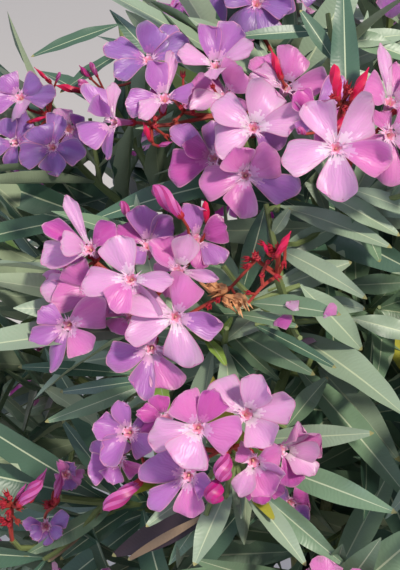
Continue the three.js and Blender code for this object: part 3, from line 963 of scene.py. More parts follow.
# mouth x, y; millimetres in front of the tip; where it faces, right and up; tint;
# petals: end x, y; breadth in pixels; lean from -1, away, to 1, to the camera; own tint
# The lilac and dusk tints below are painted shade, on the flowers and petals that lie in shade.
SET_FLOWERS = {
    "top_1.1": [
        (254, 127, 46, 0.0, 0.1, PINK, [(212, 104, 35, 0.5), (215, 146, 36, 0.4), (268, 81, 42, 0.6),
         (301, 120, 30, 0.5), (281, 150, 30, -0.4, LILAC_SHADE)]),
        (246, 175, 42, 0.0, 0.0, ROSE, [(199, 182, 35, 0.3), (238, 216, 31, 0.4),
         (297, 195, 28, -0.3, LILAC_SHADE), (279, 156, 37, 0.5), (235, 146, 36, 0.6)]),
        (216, 64, 20, 0.0, 0.5, LILAC_SHADE, [(202, 23, 30, 0.2), (238, 25, 27, -0.2), (254, 45, 17, 0.8, PINK),
         (176, 54, 20, 0.6, PINK), (214, 84, 20, 0.9, PINK)]),
        (165, 97, 32, 0.1, 0.4, LILAC_SHADE, [(148, 60, 31, 0.4), (125, 103, 25, 0.5), (192, 91, 18, 0.4),
         (174, 53, 13, -0.5, PINK), (138, 115, 18, 0.6, PINK)]),
        (148, 58, 8, -0.1, 0.5, SHADOWED_PETAL, [(105, 45, 28, 0.3), (152, 22, 30, 0.3), (178, 26, 24, -0.4),
         (190, 44, 30, -0.2), (114, 76, 22, 0.6)]),
        (112, 122, 30, -0.9, -0.1, LILAC_SHADE, [(89, 83, 18, 0.3), (96, 96, 19, 0.9), (114, 82, 13, -0.6, PINK),
         (80, 141, 31, 0.4), (107, 160, 20, 0.3)]),
        (287, 86, 24, 0.3, 0.5, ROSE, [(297, 49, 31, 0.5), (328, 88, 25, 0.4), (253, 58, 28, -0.3),
         (250, 74, 24, 0.2, PINK), (300, 108, 22, -0.8)]),
        (226, 94, 16, -0.1, 0.4, ROSE, [(242, 68, 38, 0.7), (198, 76, 24, -0.4, DEEP), (184, 90, 36, 0.2),
         (190, 107, 22, 0.7, PINK), (240, 116, 28, 0.2)]),
        (213, 158, 18, -0.3, 0.0, DEEP, [(168, 172, 33, 0.3), (184, 143, 24, 0.3),
         (172, 126, 26, 0.2, LILAC_SHADE), (215, 122, 24, -0.4, LILAC_SHADE), (222, 196, 24, -0.4)]),
    ],
    "top_1.2": [
        (337, 147, 52, 0.0, 0.1, PINK, [(281, 161, 35, 0.3), (309, 101, 33, 0.3), (374, 106, 38, 0.4),
         (392, 163, 38, 0.3, ROSE), (337, 202, 42, 0.3)]),
        (391, 134, 36, 0.2, 0.1, ROSE, [(374, 112, 24, -0.6), (386, 184, 32, 0.3), (432, 156, 36, 0.3),
         (426, 108, 36, 0.3), (356, 150, 20, -0.5)]),
        (391, 100, 20, 0.1, 0.5, ROSE, [(362, 90, 36, 0.3), (381, 43, 16, 0.7, PINK), (398, 64, 26, -0.3),
         (432, 80, 30, 0.3), (420, 118, 30, 0.4)]),
        (316, 116, 8, -0.2, 0.2, DEEP, [(294, 92, 26, 0.3), (346, 80, 30, -0.4, LILAC_SHADE),
         (350, 120, 26, -0.3), (300, 138, 26, 0.3, LILAC_SHADE), (330, 142, 22, 0.3)]),
    ],
    # These flowers lie in deep shade, and their dusk tint is painted shade.
    "top_1.3": [
        (257, 2, 12, 0.0, 0.2, SHADOWED_PETAL, [(236, 32, 31, 0.3), (268, 39, 30, 0.3), (292, 8, 28, 0.3),
         (262, -34, 28, 0.3), (224, -8, 28, 0.3)]),
        (290, -14, 4, 0.2, 0.2, SHADOWED_PETAL, [(276, 16, 26, 0.3), (322, -4, 26, 0.3), (310, -44, 26, 0.3),
         (270, -46, 26, 0.3), (258, -18, 26, 0.3)]),
        (224, -12, 0, -0.3, 0.2, SHADOWED_PETAL, [(210, 20, 26, 0.3), (190, -12, 26, 0.3), (212, -44, 26, 0.3),
         (244, -38, 26, 0.3), (250, -2, 26, 0.3)]),
    ],
    "middle_1.1": [
        (131, 279, 48, 0.0, 0.1, PINK, [(114, 236, 38, 0.4), (81, 285, 33, 0.3), (174, 281, 21, 0.5),
         (146, 308, 30, -0.5), (112, 309, 29, 0.5, ROSE)]),
        (179, 270, 40, 0.3, 0.2, ROSE, [(150, 240, 34, 0.4), (191, 234, 34, 0.3, PINK),
         (218, 280, 15, 0.5, PINK), (168, 296, 20, -0.5), (160, 262, 20, -0.8)]),
        (176, 317, 46, 0.1, 0.0, PINK, [(190, 278, 33, 0.5, ROSE), (223, 326, 31, 0.3, LILAC_SHADE),
         (125, 334, 30, 0.3), (183, 367, 35, 0.3), (129, 297, 28, 0.8)]),
        (151, 350, 34, -0.1, -0.3, LILAC_SHADE, [(106, 361, 31, 0.3), (140, 397, 27, 0.3),
         (173, 390, 31, 0.3, ROSE), (196, 352, 22, -0.4), (146, 326, 22, 0.4)]),
        (89, 248, 30, -0.2, 0.3, ROSE, [(40, 262, 30, 0.3, PINK), (67, 195, 13, 0.4, PINK),
         (43, 224, 20, 0.2, DEEP), (61, 241, 25, 0.8, PINK), (115, 224, 26, 0.3, DEEP)]),
        (96, 288, 18, -0.3, 0.0, ROSE, [(52, 296, 38, 0.5), (40, 288, 28, -0.2, PINK), (66, 266, 28, 0.5),
         (112, 314, 24, 0.2, LILAC_SHADE), (84, 318, 22, 0.2, LILAC_SHADE)]),
        (67, 326, 26, -0.3, -0.2, LILAC_SHADE, [(29, 342, 23, 0.3), (40, 309, 21, 0.4), (50, 370, 23, 0.3),
         (107, 303, 35, 0.5, ROSE), (90, 352, 29, 0.2, ROSE)]),
        (130, 316, 16, -0.2, -0.1, DEEP, [(106, 300, 26, 0.3, ROSE), (112, 332, 24, 0.3, ROSE),
         (140, 336, 26, 0.2), (150, 296, 28, 0.2, ROSE), (160, 318, 24, 0.2, LILAC_SHADE)]),
        (66, 268, 8, -0.4, 0.2, DEEP, [(46, 280, 26, 0.3, ROSE), (52, 248, 24, 0.3), (84, 276, 26, 0.2),
         (72, 300, 26, 0.2, ROSE), (78, 246, 22, 0.2)]),
        (148, 244, 8, -0.1, 0.5, LILAC_SHADE, [(142, 205, 29, 0.3), (173, 220, 27, 0.2), (184, 252, 24, -0.2),
         (118, 226, 22, -0.3, DEEP), (132, 262, 22, 0.2)]),
        (199, 238, 20, 0.7, 0.3, DEEP, [(187, 203, 25, 0.3, LILAC_SHADE), (226, 228, 27, 0.4),
         (221, 263, 23, 0.4, LILAC_SHADE), (196, 268, 22, 0.3), (176, 240, 20, -0.4)]),
    ],
    "middle_1.3": [
        (247, 414, 42, 0.1, 0.2, PINK, [(262, 375, 34, 0.7), (212, 382, 40, -0.3), (296, 404, 30, 0.4),
         (270, 448, 36, 0.5), (222, 430, 20, -0.3)]),
        (198, 428, 46, 0.0, 0.1, PINK, [(180, 393, 34, 0.4, ROSE), (219, 390, 30, 0.5, DEEP),
         (148, 437, 30, 0.3), (180, 467, 42, 0.5), (240, 438, 36, 0.5, ROSE)]),
        (254, 463, 38, 0.1, -0.2, ROSE, [(238, 496, 24, 0.4, PINK), (272, 496, 30, 0.4),
         (288, 474, 22, 0.5, PINK), (282, 452, 24, 0.2), (238, 448, 18, 0.3)]),
        (284, 450, 24, 0.9, 0.0, ROSE, [(321, 434, 36, 0.2), (320, 456, 28, 0.3, PINK),
         (312, 476, 26, 0.3, PINK), (292, 488, 18, 0.3, DEEP), (298, 422, 26, 0.4, PINK)]),
        (264, 482, 14, 0.2, -0.4, DEEP, [(262, 505, 20, 0.2), (244, 494, 18, 0.2), (284, 494, 18, 0.2),
         (276, 470, 18, 0.2), (250, 470, 18, 0.2)]),
        (188, 477, 30, -0.1, -0.1, LILAC_SHADE, [(145, 463, 35, 0.3), (147, 506, 21, 0.3),
         (191, 518, 29, 0.3, ROSE), (216, 487, 27, 0.4), (204, 446, 20, -0.3, DEEP)]),
        (128, 432, 12, -0.2, 0.2, LILAC_SHADE, [(92, 425, 27, 0.3), (119, 400, 21, 0.3), (100, 459, 31, 0.5),
         (152, 452, 28, 0.2), (152, 420, 24, -0.2)]),
        (117, 460, 4, -0.3, -0.3, LILAC_SHADE, [(88, 470, 27, 0.3), (110, 484, 21, 0.3), (96, 440, 20, -0.2),
         (140, 470, 20, -0.3, DEEP), (124, 436, 20, 0.2)]),
        (166, 418, 10, -0.1, 0.4, DEEP, [(137, 412, 19, 0.4), (158, 394, 20, 0.2), (184, 404, 20, -0.3),
         (140, 432, 20, 0.2), (176, 446, 20, 0.2)]),
    ],
    # This cluster lies in shade, and its dusk tints are painted shade.
    "middle_6.1": [
        (52, 147, 26, -0.1, 0.0, SHADOWED_PETAL, [(36, 126, 28, 0.3), (19, 160, 25, 0.3), (56, 177, 27, 0.3),
         (86, 154, 26, 0.3), (62, 116, 22, -0.2)]),
        (20, 96, 18, -0.1, 0.3, LILAC_SHADE, [(2, 76, 24, 0.3), (40, 80, 24, 0.3, SHADOWED_PETAL), (54, 98, 20, 0.3, SHADOWED_PETAL),
         (22, 118, 24, 0.5, PINK), (-12, 104, 26, 0.3)]),
        (14, 142, 8, -0.5, 0.0, SHADOWED_PETAL, [(4, 118, 22, 0.2, SHADOWED_PETAL), (-14, 150, 24, 0.3),
         (12, 172, 24, 0.3, SHADOWED_PETAL), (36, 138, 22, -0.3), (28, 112, 20, 0.2)]),
        (70, 128, 10, 0.4, 0.2, SHADOWED_PETAL, [(58, 108, 20, 0.3, PINK), (84, 118, 20, 0.3, SHADOWED_PETAL),
         (92, 142, 20, 0.2, SHADOWED_PETAL), (70, 156, 20, 0.2), (50, 134, 18, 0.2)]),
    ],
    "lower_1.1": [
        (46, 526, -8, 0.1, 0.2, SHADOWED_PETAL, [(22, 522, 14, 0.3), (30, 536, 16, 0.3), (70, 516, 16, 0.3),
         (62, 536, 14, 0.3), (46, 546, 14, 0.2)]),
        (66, 474, -6, 0.2, 0.3, ROSE, [(58, 462, 14, 0.5), (76, 464, 16, 0.4, SHADOWED_PETAL), (84, 478, 14, 0.3),
         (70, 490, 14, 0.3, SHADOWED_PETAL), (56, 482, 12, 0.3)]),
    ],
    "late spray": [
        (291, 504, 10, 0.2, -0.1, SHADOWED_PETAL, [(268, 492, 27, 0.3), (308, 492, 24, 0.2, DEEP),
         (308, 522, 25, 0.3), (286, 526, 24, 0.3), (272, 514, 22, 0.2, DEEP)]),
    ],
}

print("set flowers:", sum(len(flowers) for flowers in SET_FLOWERS.values()))

# %% Set buds and stalks
# base x, y; tip x, y; millimetres in front of the tip; breadth in pixels; tint
SET_BUDS = {
    "top_1.1": [(281, 78, 271, 49, 26, 8, CRIMSON), (150, 140, 143, 122, 30, 6, CRIMSON),
        (158, 146, 172, 142, 24, 5, MAGENTA), (236, 166, 240, 152, 20, 5, BLUSH)],
    "top_1.2": [(338, 99, 334, 64, 40, 11, CRIMSON), (352, 101, 369, 67, 40, 10, CRIMSON),
        (343, 116, 337, 140, 30, 10, CRIMSON), (305, 134, 298, 128, 26, 7, MAGENTA)],
    "middle_1.1": [(181, 216, 153, 185, 30, 16, MAGENTA), (207, 222, 205, 201, 24, 7, CRIMSON),
        (131, 220, 121, 201, 0, 9, BLUSH)],
    "middle_1.2": [(277, 256, 291, 231, 24, 8, CRIMSON), (268, 254, 263, 242, 20, 4, CRIMSON)],
    "middle_1.3": [(226, 454, 221, 482, 46, 18, MAGENTA), (216, 481, 213, 504, 44, 19, WINE),
        (140, 482, 103, 510, 16, 16, MAGENTA)],
    "middle_6.1": [(50, 82, 34, 67, 12, 4, CRIMSON), (30, 122, 48, 116, 20, 4, CRIMSON),
        (56, 82, 60, 72, 10, 4, MAGENTA)],
    "lower_1.1": [(56, 500, 61, 470, 8, 9, BLUSH)],
    "corner spray": [(19, 505, 42, 480, 22, 13, MAGENTA), (30, 500, 47, 468, 14, 9, MAGENTA),
        (16, 500, 26, 484, 10, 5, BLUSH)],
}
# x, y, millimetres in front of the tip: where the stalks of a set cluster branch, with a tuft of calyxes
SET_HUBS = {
    "top_1.1": [(222, 104, 6), (152, 126, 14), (184, 112, 12), (297, 92, 6)],
    "top_1.2": [(343, 102, 24), (352, 146, 8), (394, 112, 6)],
    "top_1.3": [(262, 34, 4)],
    "middle_1.1": [(146, 300, 14), (96, 262, 6), (190, 262, 6)],
    "middle_1.2": [(279, 252, 14), (256, 259, 12)],
    "middle_1.3": [(232, 446, 16), (140, 446, 0)],
    "middle_6.1": [(50, 118, 0)],
    "lower_1.1": [(54, 506, 2)],
    "corner spray": [(12, 506, 12), (11, 522, 8)],
    "late spray": [(300, 530, 0)],
}
# old flower stalks: the places that each runs through, as x, y and millimetres in front of the tip
SET_STALKS = {
    "middle_1.1": [[(176, 322, 6), (212, 301, 10), (228, 290, 12), (244, 273, 14), (258, 258, 16)]],
    "middle_1.2": [[(277, 276, 2), (263, 286, 8), (248, 303, 8)],
        [(277, 276, 0), (284, 262, 8), (285, 247, 12)], [(263, 286, 8), (262, 274, 10), (268, 262, 12)]],
    "corner spray": [[(12, 540, 0), (10, 528, 6), (12, 516, 8), (10, 498, 12)]],
}
# x, y, millimetres in front of the tip, size, own material: calyxes that have dropped their flowers
SET_CALYXES = {
    "middle_1.1": [(213, 288, 14, 2.2, "withered_tan"), (223, 289, 14, 2.0, "withered_tan"),
        (228, 300, 16, 2.3, "withered_tan"), (238, 299, 16, 2.4, "withered_tan"), (209, 306, 16, 1.0),
        (246, 267, 16, 0.8), (218, 300, 18, 0.9)],
    "middle_1.2": [(255, 257, 18, 0.9), (263, 244, 18, 0.8), (249, 265, 16, 0.8), (262, 275, 14, 0.9),
        (276, 276, 12, 0.9), (249, 293, 12, 0.8), (284, 263, 14, 0.9), (272, 252, 18, 0.8),
        (268, 262, 16, 0.8)],
    "top_1.1": [(146, 116, 22, 0.9), (155, 119, 24, 0.9), (148, 130, 24, 0.8),
        (166, 136, 20, 0.9, "stalk_red"), (192, 112, 22, 0.9), (183, 76, 18, 0.9), (213, 87, 22, 0.8),
        (176, 120, 16, 0.8, "stalk_red")],
    "top_1.2": [(333, 97, 44, 1.0), (350, 92, 44, 0.9), (345, 108, 42, 1.0), (394, 112, 26, 1.0),
        (353, 103, 42, 0.9)],
    "corner spray": [(4, 504, 16, 1.2), (10, 498, 16, 1.0), (18, 508, 16, 1.0, "stalk_red"),
        (9, 512, 16, 1.0), (17, 521, 14, 1.0, "stalk_red"), (5, 523, 14, 1.0)],
}

print("set buds:", sum(len(places) for places in SET_BUDS.values()))

# %% A heap for each kind and side
GROUPS = ["top", "middle", "lower_left", "lower_right"]


def group_of(mass):
    if mass["ring"] != "lower":
        return mass["ring"]
    return "lower_left" if mass["index"] < 6 else "lower_right"


PETAL_MATERIALS = [*PETAL_TINTS, "petal_back", "petal_rim", "petal_claw"]
HEART_MATERIALS = ["petal_back", "petal_claw", "throat_rose", "crown_fringe", "anther_cream"]
STALK_MATERIALS = ["calyx_red", "stalk_red", "stalk_green", "withered_tan"]
heaps = {
    group: {
        "petals": Heap(f"petals_{group}", PETAL_MATERIALS),
        "hearts": Heap(f"flower_hearts_{group}", HEART_MATERIALS),
        "calyxes": Heap(f"calyxes_and_stalks_{group}", STALK_MATERIALS),
        "buds": Heap(f"buds_{group}", list(BUD_TINTS)),
        "leaves": Heap(f"leaves_{group}", LEAF_MATERIALS),
    }
    for group in GROUPS
}
open_flowers = []  # centre and axis of each, so that no leaf grows across one
print("heaps:", sum(len(kinds) for kinds in heaps.values()))

# %% [markdown]
# ## Growing the clusters
#
# A cluster is a spray of short red stalks from the shoot's tip. One flower looks the way the shoot
# grows, four stand around it and four more hang at its skirt, with crimson buds between them. A spent
# cluster keeps its red stalks and a few shrivelled calyxes.

# %% Growing a cluster
def stalk_to(heap, shoot, hubs, base, axis, scale=1.0):
    """A stalk from the nearest branching place to the foot of a flower or bud."""
    hub = min(hubs, key=lambda h: np.linalg.norm(h - base))
    leaving = unit(mix(shoot["heading"], unit(base - hub), 0.6))
    grow_stalk(heap, hub, leaving, base, axis, scale, 0.8 * scale)


BROADER, LEAST_BREADTH = 1.22, 7  # a cupped petal is broader than it looks
WILD_SET = 1.15
TUFT = 3  # calyxes on each branching place


def set_petal(heap, mouth, end, breadth, hint, draw, tint):
    """One petal from the flower's mouth to its own end."""
    way = unit(end - mouth)
    start = mouth + way * MOUTH
    length = np.linalg.norm(end - start)
    up = unit(hint - way * hint.dot(way))
    shape, flat = petal_surface(NEAR_PETAL, length, breadth, draw, WILD_SET, 0)
    spin = np.array([way, np.cross(up, way), up])
    heap.put(shape @ spin + start, NEAR_PETAL.faces, petal_slots(heap, NEAR_PETAL, tint), flat)


def set_cluster(name, shoot, heaps, draw):
    tip, depth, calyxes = shoot["tip"], depth_of(shoot["tip"]), heaps["calyxes"]
    hubs = [seen_at(x, y, depth - ahead) for x, y, ahead in SET_HUBS[name]]
    for hub in hubs:
        grow_stalk(calyxes, tip - shoot["heading"] * 2, shoot["heading"], hub,
                   unit(hub - tip + shoot["heading"] * 6), 1.3, 1.0)
        for _ in range(TUFT):
            way = unit(mix(aimed(shoot["heading"], draw() * 1.2, draw() * ANYWHERE), -LOOK, 0.3))
            base = hub + way * draw.around(6, 2)
            grow_stalk(calyxes, hub, way, base, way, 1.0, 0.8, rings=3)
            grow_calyx(calyxes, base, way, square_to(way)[0], draw.around(0.7, 0.15))
    for x, y, ahead, right, high, tint, petals in SET_FLOWERS.get(name, []):
        mouth = seen_at(x, y, depth - ahead)
        pixel = PIXEL * depth_of(mouth)
        axis = unit(SIDE * right + LOOK_UP * high - LOOK)
        for end_x, end_y, breadth, lean, *own in petals:
            shown = math.hypot(end_x - x, end_y - y) * pixel
            hidden = math.sqrt(max(0, FLOWER_RADIUS**2 - shown**2)) * lean
            end = seen_at(end_x, end_y, depth - ahead - hidden)
            set_petal(heaps["petals"], mouth, end, max(breadth * BROADER * pixel, LEAST_BREADTH),
                      axis - LOOK * 0.6, draw, own[0] if own else tint)
        base = grow_heart(heaps, mouth, axis, LOOK_UP, draw.around(0.95, 0.05), draw, True)
        stalk_to(calyxes, shoot, hubs, base, axis)
        open_flowers.append((mouth, -LOOK))
    for x0, y0, x1, y1, ahead, breadth, tint in SET_BUDS.get(name, []):
        base, top = seen_at(x0, y0, depth - ahead), seen_at(x1, y1, depth - ahead - 4)
        axis = unit(top - base)
        grow_bud(heaps, base, axis, np.linalg.norm(top - base), breadth / 2 * PIXEL * depth, tint)
        stalk_to(calyxes, shoot, hubs, base, axis, 0.9)
    old = []
    for places in SET_STALKS.get(name, []):
        path = through([seen_at(x, y, depth - ahead) for x, y, ahead in places])
        calyxes.put_tube("stalk_red", path, taper(1.05, 0.75), 6, 14)
        old += list(path.at(np.linspace(0, 1, 9)))
    for x, y, ahead, size, *own in SET_CALYXES.get(name, []):
        place = seen_at(x, y, depth - ahead)
        foot = min(old + hubs, key=lambda spot: np.linalg.norm(spot - place))
        way = unit(place - foot + LOOK_UP * 0.1)
        grow_stalk(calyxes, foot, way, place, way, 0.8, 0.65, rings=3)
        grow_calyx(calyxes, place, way, square_to(way)[0], size * 0.75, *own)


print("set clusters:", len(SET_HUBS))

# %% Clusters by rule
# The lilac tint is painted shade, here dealt out at random.
RULE_TINTS = [ROSE, ROSE, PINK, DEEP, LILAC_SHADE]
# left, top, right, bottom: parts of the picture in which no flower shows but the set ones
NO_BLOSSOM = [(55, 30, 92, 116), (0, 185, 40, 470), (40, 375, 88, 470), (335, 205, 400, 475),
              (235, 520, 400, 560)]
BARE_MARGIN, BARE_DEPTH = 30, 900
CROWNING = 39  # how far the middle flower stands from the shoot's tip
# four flowers around it and four at the skirt: tilt, share of a quarter turn, distance from the tip
FLOWER_RINGS = [(0.72, 0.5, 37), (1.3, 0, 36)]
BUDS_IN_CLUSTER = 5


def is_bare(place):
    x, y, depth = on_picture(place)
    return depth < BARE_DEPTH and any(
        left - BARE_MARGIN < x < right + BARE_MARGIN and top - BARE_MARGIN < y < bottom + BARE_MARGIN
        for left, top, right, bottom in NO_BLOSSOM)


def rule_cluster(shoot, heaps, draw):
    tip, heading, turn = shoot["tip"], shoot["heading"], shoot["turn"]
    hubs = [tip + heading * 3]
    tint = draw.pick(RULE_TINTS)
    aims = [(draw() * 0.15, 0, CROWNING)]
    aims += [(draw.around(tilt, 0.08), turn + (i + part) * math.pi / 2, draw.around(out, 2))
             for tilt, part, out in FLOWER_RINGS for i in range(4)]
    for tilt, around, out in aims:
        way = aimed(heading, tilt, around)
        centre = tip + way * out
        if not keeps_to_its_space(centre[None, :], shoot["mass"]) or is_bare(centre):
            continue
        axis = unit(way + [draw.around(0, 0.2), draw.around(0, 0.2), draw.around(0.15, 0.15)])
        pick = tint if draw() < 0.6 else draw.pick(RULE_TINTS)
        roll, radius = square_to(axis)[0], draw.around(22.5, 1.5)
        grow_petals(heaps["petals"], centre, axis, roll, radius, draw, pick)
        base = grow_heart(heaps, centre, axis, roll, radius / FLOWER_RADIUS, draw, False)
        stalk_to(heaps["calyxes"], shoot, hubs, base, axis)
        open_flowers.append((centre, axis))
    for _ in range(BUDS_IN_CLUSTER):
        way = aimed(heading, draw() * 0.9, draw() * ANYWHERE)
        base = tip + way * draw.around(15, 3)
        length, fat = draw.around(15, 5), draw.around(2.1, 0.4)
        grow_bud(heaps, base, way, length, fat, draw.pick(list(BUD_TINTS)))
        stalk_to(heaps["calyxes"], shoot, hubs, base, way, 0.9)


def keeps_to_its_space(points, own):
    """Whether points lie nearer to their own mass's middle than to any other's."""
    for other in masses:
        if other is own:
            continue
        apart = own["middle"] - other["middle"]
        border = (own["middle"].dot(own["middle"]) - other["middle"].dot(other["middle"])) / 2
        if np.any(points @ apart - border < 0):
            return False
    return True


print("flowers in a full cluster:", 1 + 4 * len(FLOWER_RINGS))

# %% Clusters on their shoots
counts = {"open": 0, "budding": 0, "spent": 0, "leafy": 0}
for number, mass in enumerate(masses):
    draw = Dice(SEED * 3 + 101 * number)
    group = heaps[group_of(mass)]
    for shoot in mass["shoots"]:
        counts[shoot["state"]] += 1
        if shoot["name"] in SET_HUBS:
            set_cluster(shoot["name"], shoot, group, draw)
        elif shoot["state"] == "open":
            rule_cluster(shoot, group, draw)

# sprays on side shoots low in the crown: mass, its shoot or else its stem, share of the way along,
# tip x, y and depth, uprightness
SIDE_SPRAYS = {"late spray": ("lower_2", None, 0.25, 298, 528, 712, 0.4),
               "corner spray": ("lower_1", "lower_1.1", 0.5, 12, 540, 690, 0.85)}
side_sprays = {}
for number, (name, (bearer, shoot_name, share, x, y, depth, upright)) in enumerate(SIDE_SPRAYS.items()):
    mass = next(m for m in masses if m["name"] == bearer)
    path = next((s["path"] for s in mass["shoots"] if s["name"] == shoot_name), mass["stem"])
    foot, leaving = path.at(share), path.heading(share)
    tip = seen_at(x, y, depth)
    heading = unit(mix(unit(tip - foot), UP, upright))
    spray = {"tip": tip, "heading": heading, "mass": mass,
             "path": Bend(foot, unit(mix(leaving, unit(tip - foot), 0.6)), tip, heading)}
    set_cluster(name, spray, heaps[group_of(mass)], Dice(SEED * 5 + number))
    side_sprays[name] = spray
print("clusters:", counts, "open flowers:", len(open_flowers))

# %% [markdown]
# ## Twigs
#
# A young shoot is green and about as thick as a pencil lead. Twigs carry the shoots on from each
# bough, and a few side sprigs near the camera bear leaves that we set one by one.

# %% Growing the twigs
twigs = Heap("green_twigs", ["green_wood"])


def grow_twig(path, thick, thin, rings=10, sides=7):
    twigs.put_tube("green_wood", path, taper(thick, thin), sides, rings)


carriers = {}
for name, spray in side_sprays.items():
    grow_twig(spray["path"], 2.2, 1.6)
    carriers[name] = (spray["path"], spray["mass"])
for mass in masses:
    grow_twig(mass["stem"], TWIG_START, TWIG_FORK, 6)
    carriers[mass["name"]] = (mass["stem"], mass)
    for shoot in mass["shoots"]:
        grow_twig(shoot["path"], TWIG_FORK, TWIG_TIP)
        carriers[shoot["name"]] = (shoot["path"], mass)

# shoot it grows from, share of the way along; end x, y; millimetres farther than where it starts
SET_SPRIGS = {
    "behind the spent": ("middle_1.2", 0.45, 266, 204, 2),
    "low left": ("middle_1.1", 0.6, 146, 384, 18),
    "top left": ("middle_6.2", 0.6, 120, 24, 10),
    "leader": ("top_1.2", 0.9, 328, 14, 22),
}
for name, (carrier, share, x, y, farther) in SET_SPRIGS.items():
    path, mass = carriers[carrier]
    start = path.at(share)
    end = seen_at(x, y, depth_of(start) + farther)
    sprig = Bend(start, unit(mix(path.heading(share), unit(end - start), 0.5)), end, unit(end - start))
    grow_twig(sprig, 2.2, 1.4)
    carriers[name] = (sprig, mass)
print("twigs:", len(carriers))

# %% [markdown]
# ## Leaves that face the camera
#
# The large leaves of the picture are set like the flowers: the shoot that bears each, where its root
# and its tip lie in the picture, how far the tip comes forward, and its breadth.

# %% Set leaves
SAGE, GREEN, SHADE_GREEN, YOUNG = LEAF_TINTS
# shoot; for each of its leaves root x, y; tip x, y; millimetres that the tip is nearer; breadth in
# mm; droop; tint
# The deep green set leaves are painted shade, on leaves that lie in shade.
SET_LEAVES = [
    ("behind the spent", [(280, 206, 392, 248, 30, 14, 0.25, SAGE),
        (282, 248, 367, 299, 34, 12, 0.45, SAGE), (270, 236, 290, 208, 8, 7, 0.2, SAGE),
        (262, 206, 240, 300, -6, 13, 0.2, SHADE_GREEN), (285, 250, 346, 222, -14, 12, 0.2, SAGE),
        (268, 290, 352, 262, 2, 14, 0.2, SAGE)]),
    ("top_1.2", [(318, 190, 400, 236, -6, 13, 0.2, SAGE), (352, 186, 420, 216, 6, 11, 0.2, SAGE),
        (348, 200, 380, 262, -10, 12, 0.3, GREEN)]),
    ("middle_1.2", [(250, 303, 341, 315, 34, 12.5, 0.2, GREEN), (236, 314, 298, 327, 26, 7, 0.25, GREEN),
        (292, 330, 408, 418, 52, 22, 0.3, SAGE), (300, 285, 362, 350, -22, 16, 0.2, SAGE),
        (318, 302, 365, 309, 6, 9, 0.25, SAGE), (352, 318, 425, 338, 0, 12, 0.25, SAGE)]),
    ("middle_1", [(318, 366, 400, 462, 74, 20, 0.35, SAGE), (342, 286, 415, 282, 10, 12, 0.2, GREEN)]),
    ("middle_1.1", [(232, 328, 315, 375, 52, 12.5, 0.3, GREEN), (222, 344, 264, 390, 30, 8, 0.2, SHADE_GREEN),
        (220, 352, 233, 317, 34, 5, 0.2, YOUNG), (206, 340, 226, 366, 32, 7, 0.2, YOUNG)]),
    ("middle_1.2", [(255, 325, 336, 368, 26, 7, 0.2, SHADE_GREEN)]),
    ("middle_1.3", [(286, 428, 328, 377, 6, 12, 0.2, GREEN), (262, 440, 374, 433, 26, 12.5, 0.25, SAGE),
        (262, 462, 397, 513, 40, 14.5, 0.25, GREEN), (232, 480, 194, 566, 20, 14, 0.2, SAGE),
        (240, 482, 306, 566, 26, 12, 0.25, SAGE), (246, 480, 346, 566, 16, 13, 0.2, GREEN),
        (244, 484, 274, 520, 24, 7, 0.2, "leaf_yellow"), (200, 488, 146, 527, 20, 9, 0.2, SAGE),
        (226, 500, 112, 556, -34, 15, 0.3, "leaf_brown"), (206, 515, 128, 560, -24, 4.5, 0.6, "leaf_dry")]),
    ("lower_1.1", [(168, 504, 104, 528, -24, 13, 0.3, SHADE_GREEN)]),
    ("low left", [(160, 478, 131, 494, 22, 6, 0.4, "leaf_yellow"), (130, 374, 18, 367, 10, 9, 0.2, SHADE_GREEN),
        (140, 383, 45, 422, 14, 10, 0.3, GREEN), (150, 378, 60, 392, -10, 8, 0.2, SHADE_GREEN)]),
    ("lower_1.1", [(100, 512, 48, 562, 8, 8, 0.3, "leaf_dry")]),
    ("low left", [(158, 372, 169, 416, 56, 8, 0.2, YOUNG)]),
    ("lower_1.1", [(120, 498, 24, 556, 34, 12, 0.3, GREEN), (140, 506, 60, 560, 20, 12, 0.3, SHADE_GREEN),
        (160, 500, 92, 512, 30, 9, 0.5, SHADE_GREEN), (130, 500, 62, 420, -20, 12, 0.3, SHADE_GREEN)]),
    ("top left", [(122, 20, 31, 57, 10, 11, 0.15, SHADE_GREEN), (120, 48, 60, 93, 14, 11, 0.15, SHADE_GREEN),
        (132, 70, 96, 190, -6, 11, 0.3, SHADE_GREEN)]),
    ("top_1.2", [(348, 160, 343, -26, -16, 15, 0.15, SHADE_GREEN)]),
    ("leader", [(328, 30, 234, 37, 8, 8, 0.2, SHADE_GREEN), (330, 34, 420, 62, -2, 12, 0.2, GREEN),
        (330, 46, 412, 34, -10, 11, 0.2, SAGE), (328, 60, 300, 10, 4, 9, 0.2, SHADE_GREEN),
        (329, 70, 400, 100, -8, 11, 0.2, SAGE)]),
]
print("shoots with set leaves:", len(SET_LEAVES))

# %% Set leaves on their shoots
FLIP = 0.35  # how far a set leaf may roll about its own length, in radians
NEAR_ENOUGH = 5  # a root farther than this from its shoot gets a twig of its own


def root_on(path, x, y):
    """The place on a shoot that shows nearest to x, y, or the end of a twig that leads there."""
    spots = path.at(np.linspace(0.05, 1, 20))
    wanted = [seen_at(x, y, depth_of(spot)) for spot in spots]
    gaps = [np.linalg.norm(spot - place) for spot, place in zip(spots, wanted)]
    nearest = int(np.argmin(gaps))
    foot, root = spots[nearest], wanted[nearest]
    if gaps[nearest] <= NEAR_ENOUGH:
        return foot
    grow_twig(Bend(foot, unit(root - foot + UP), root, unit(root - foot)), 1.7, 1.2, 6)
    return root


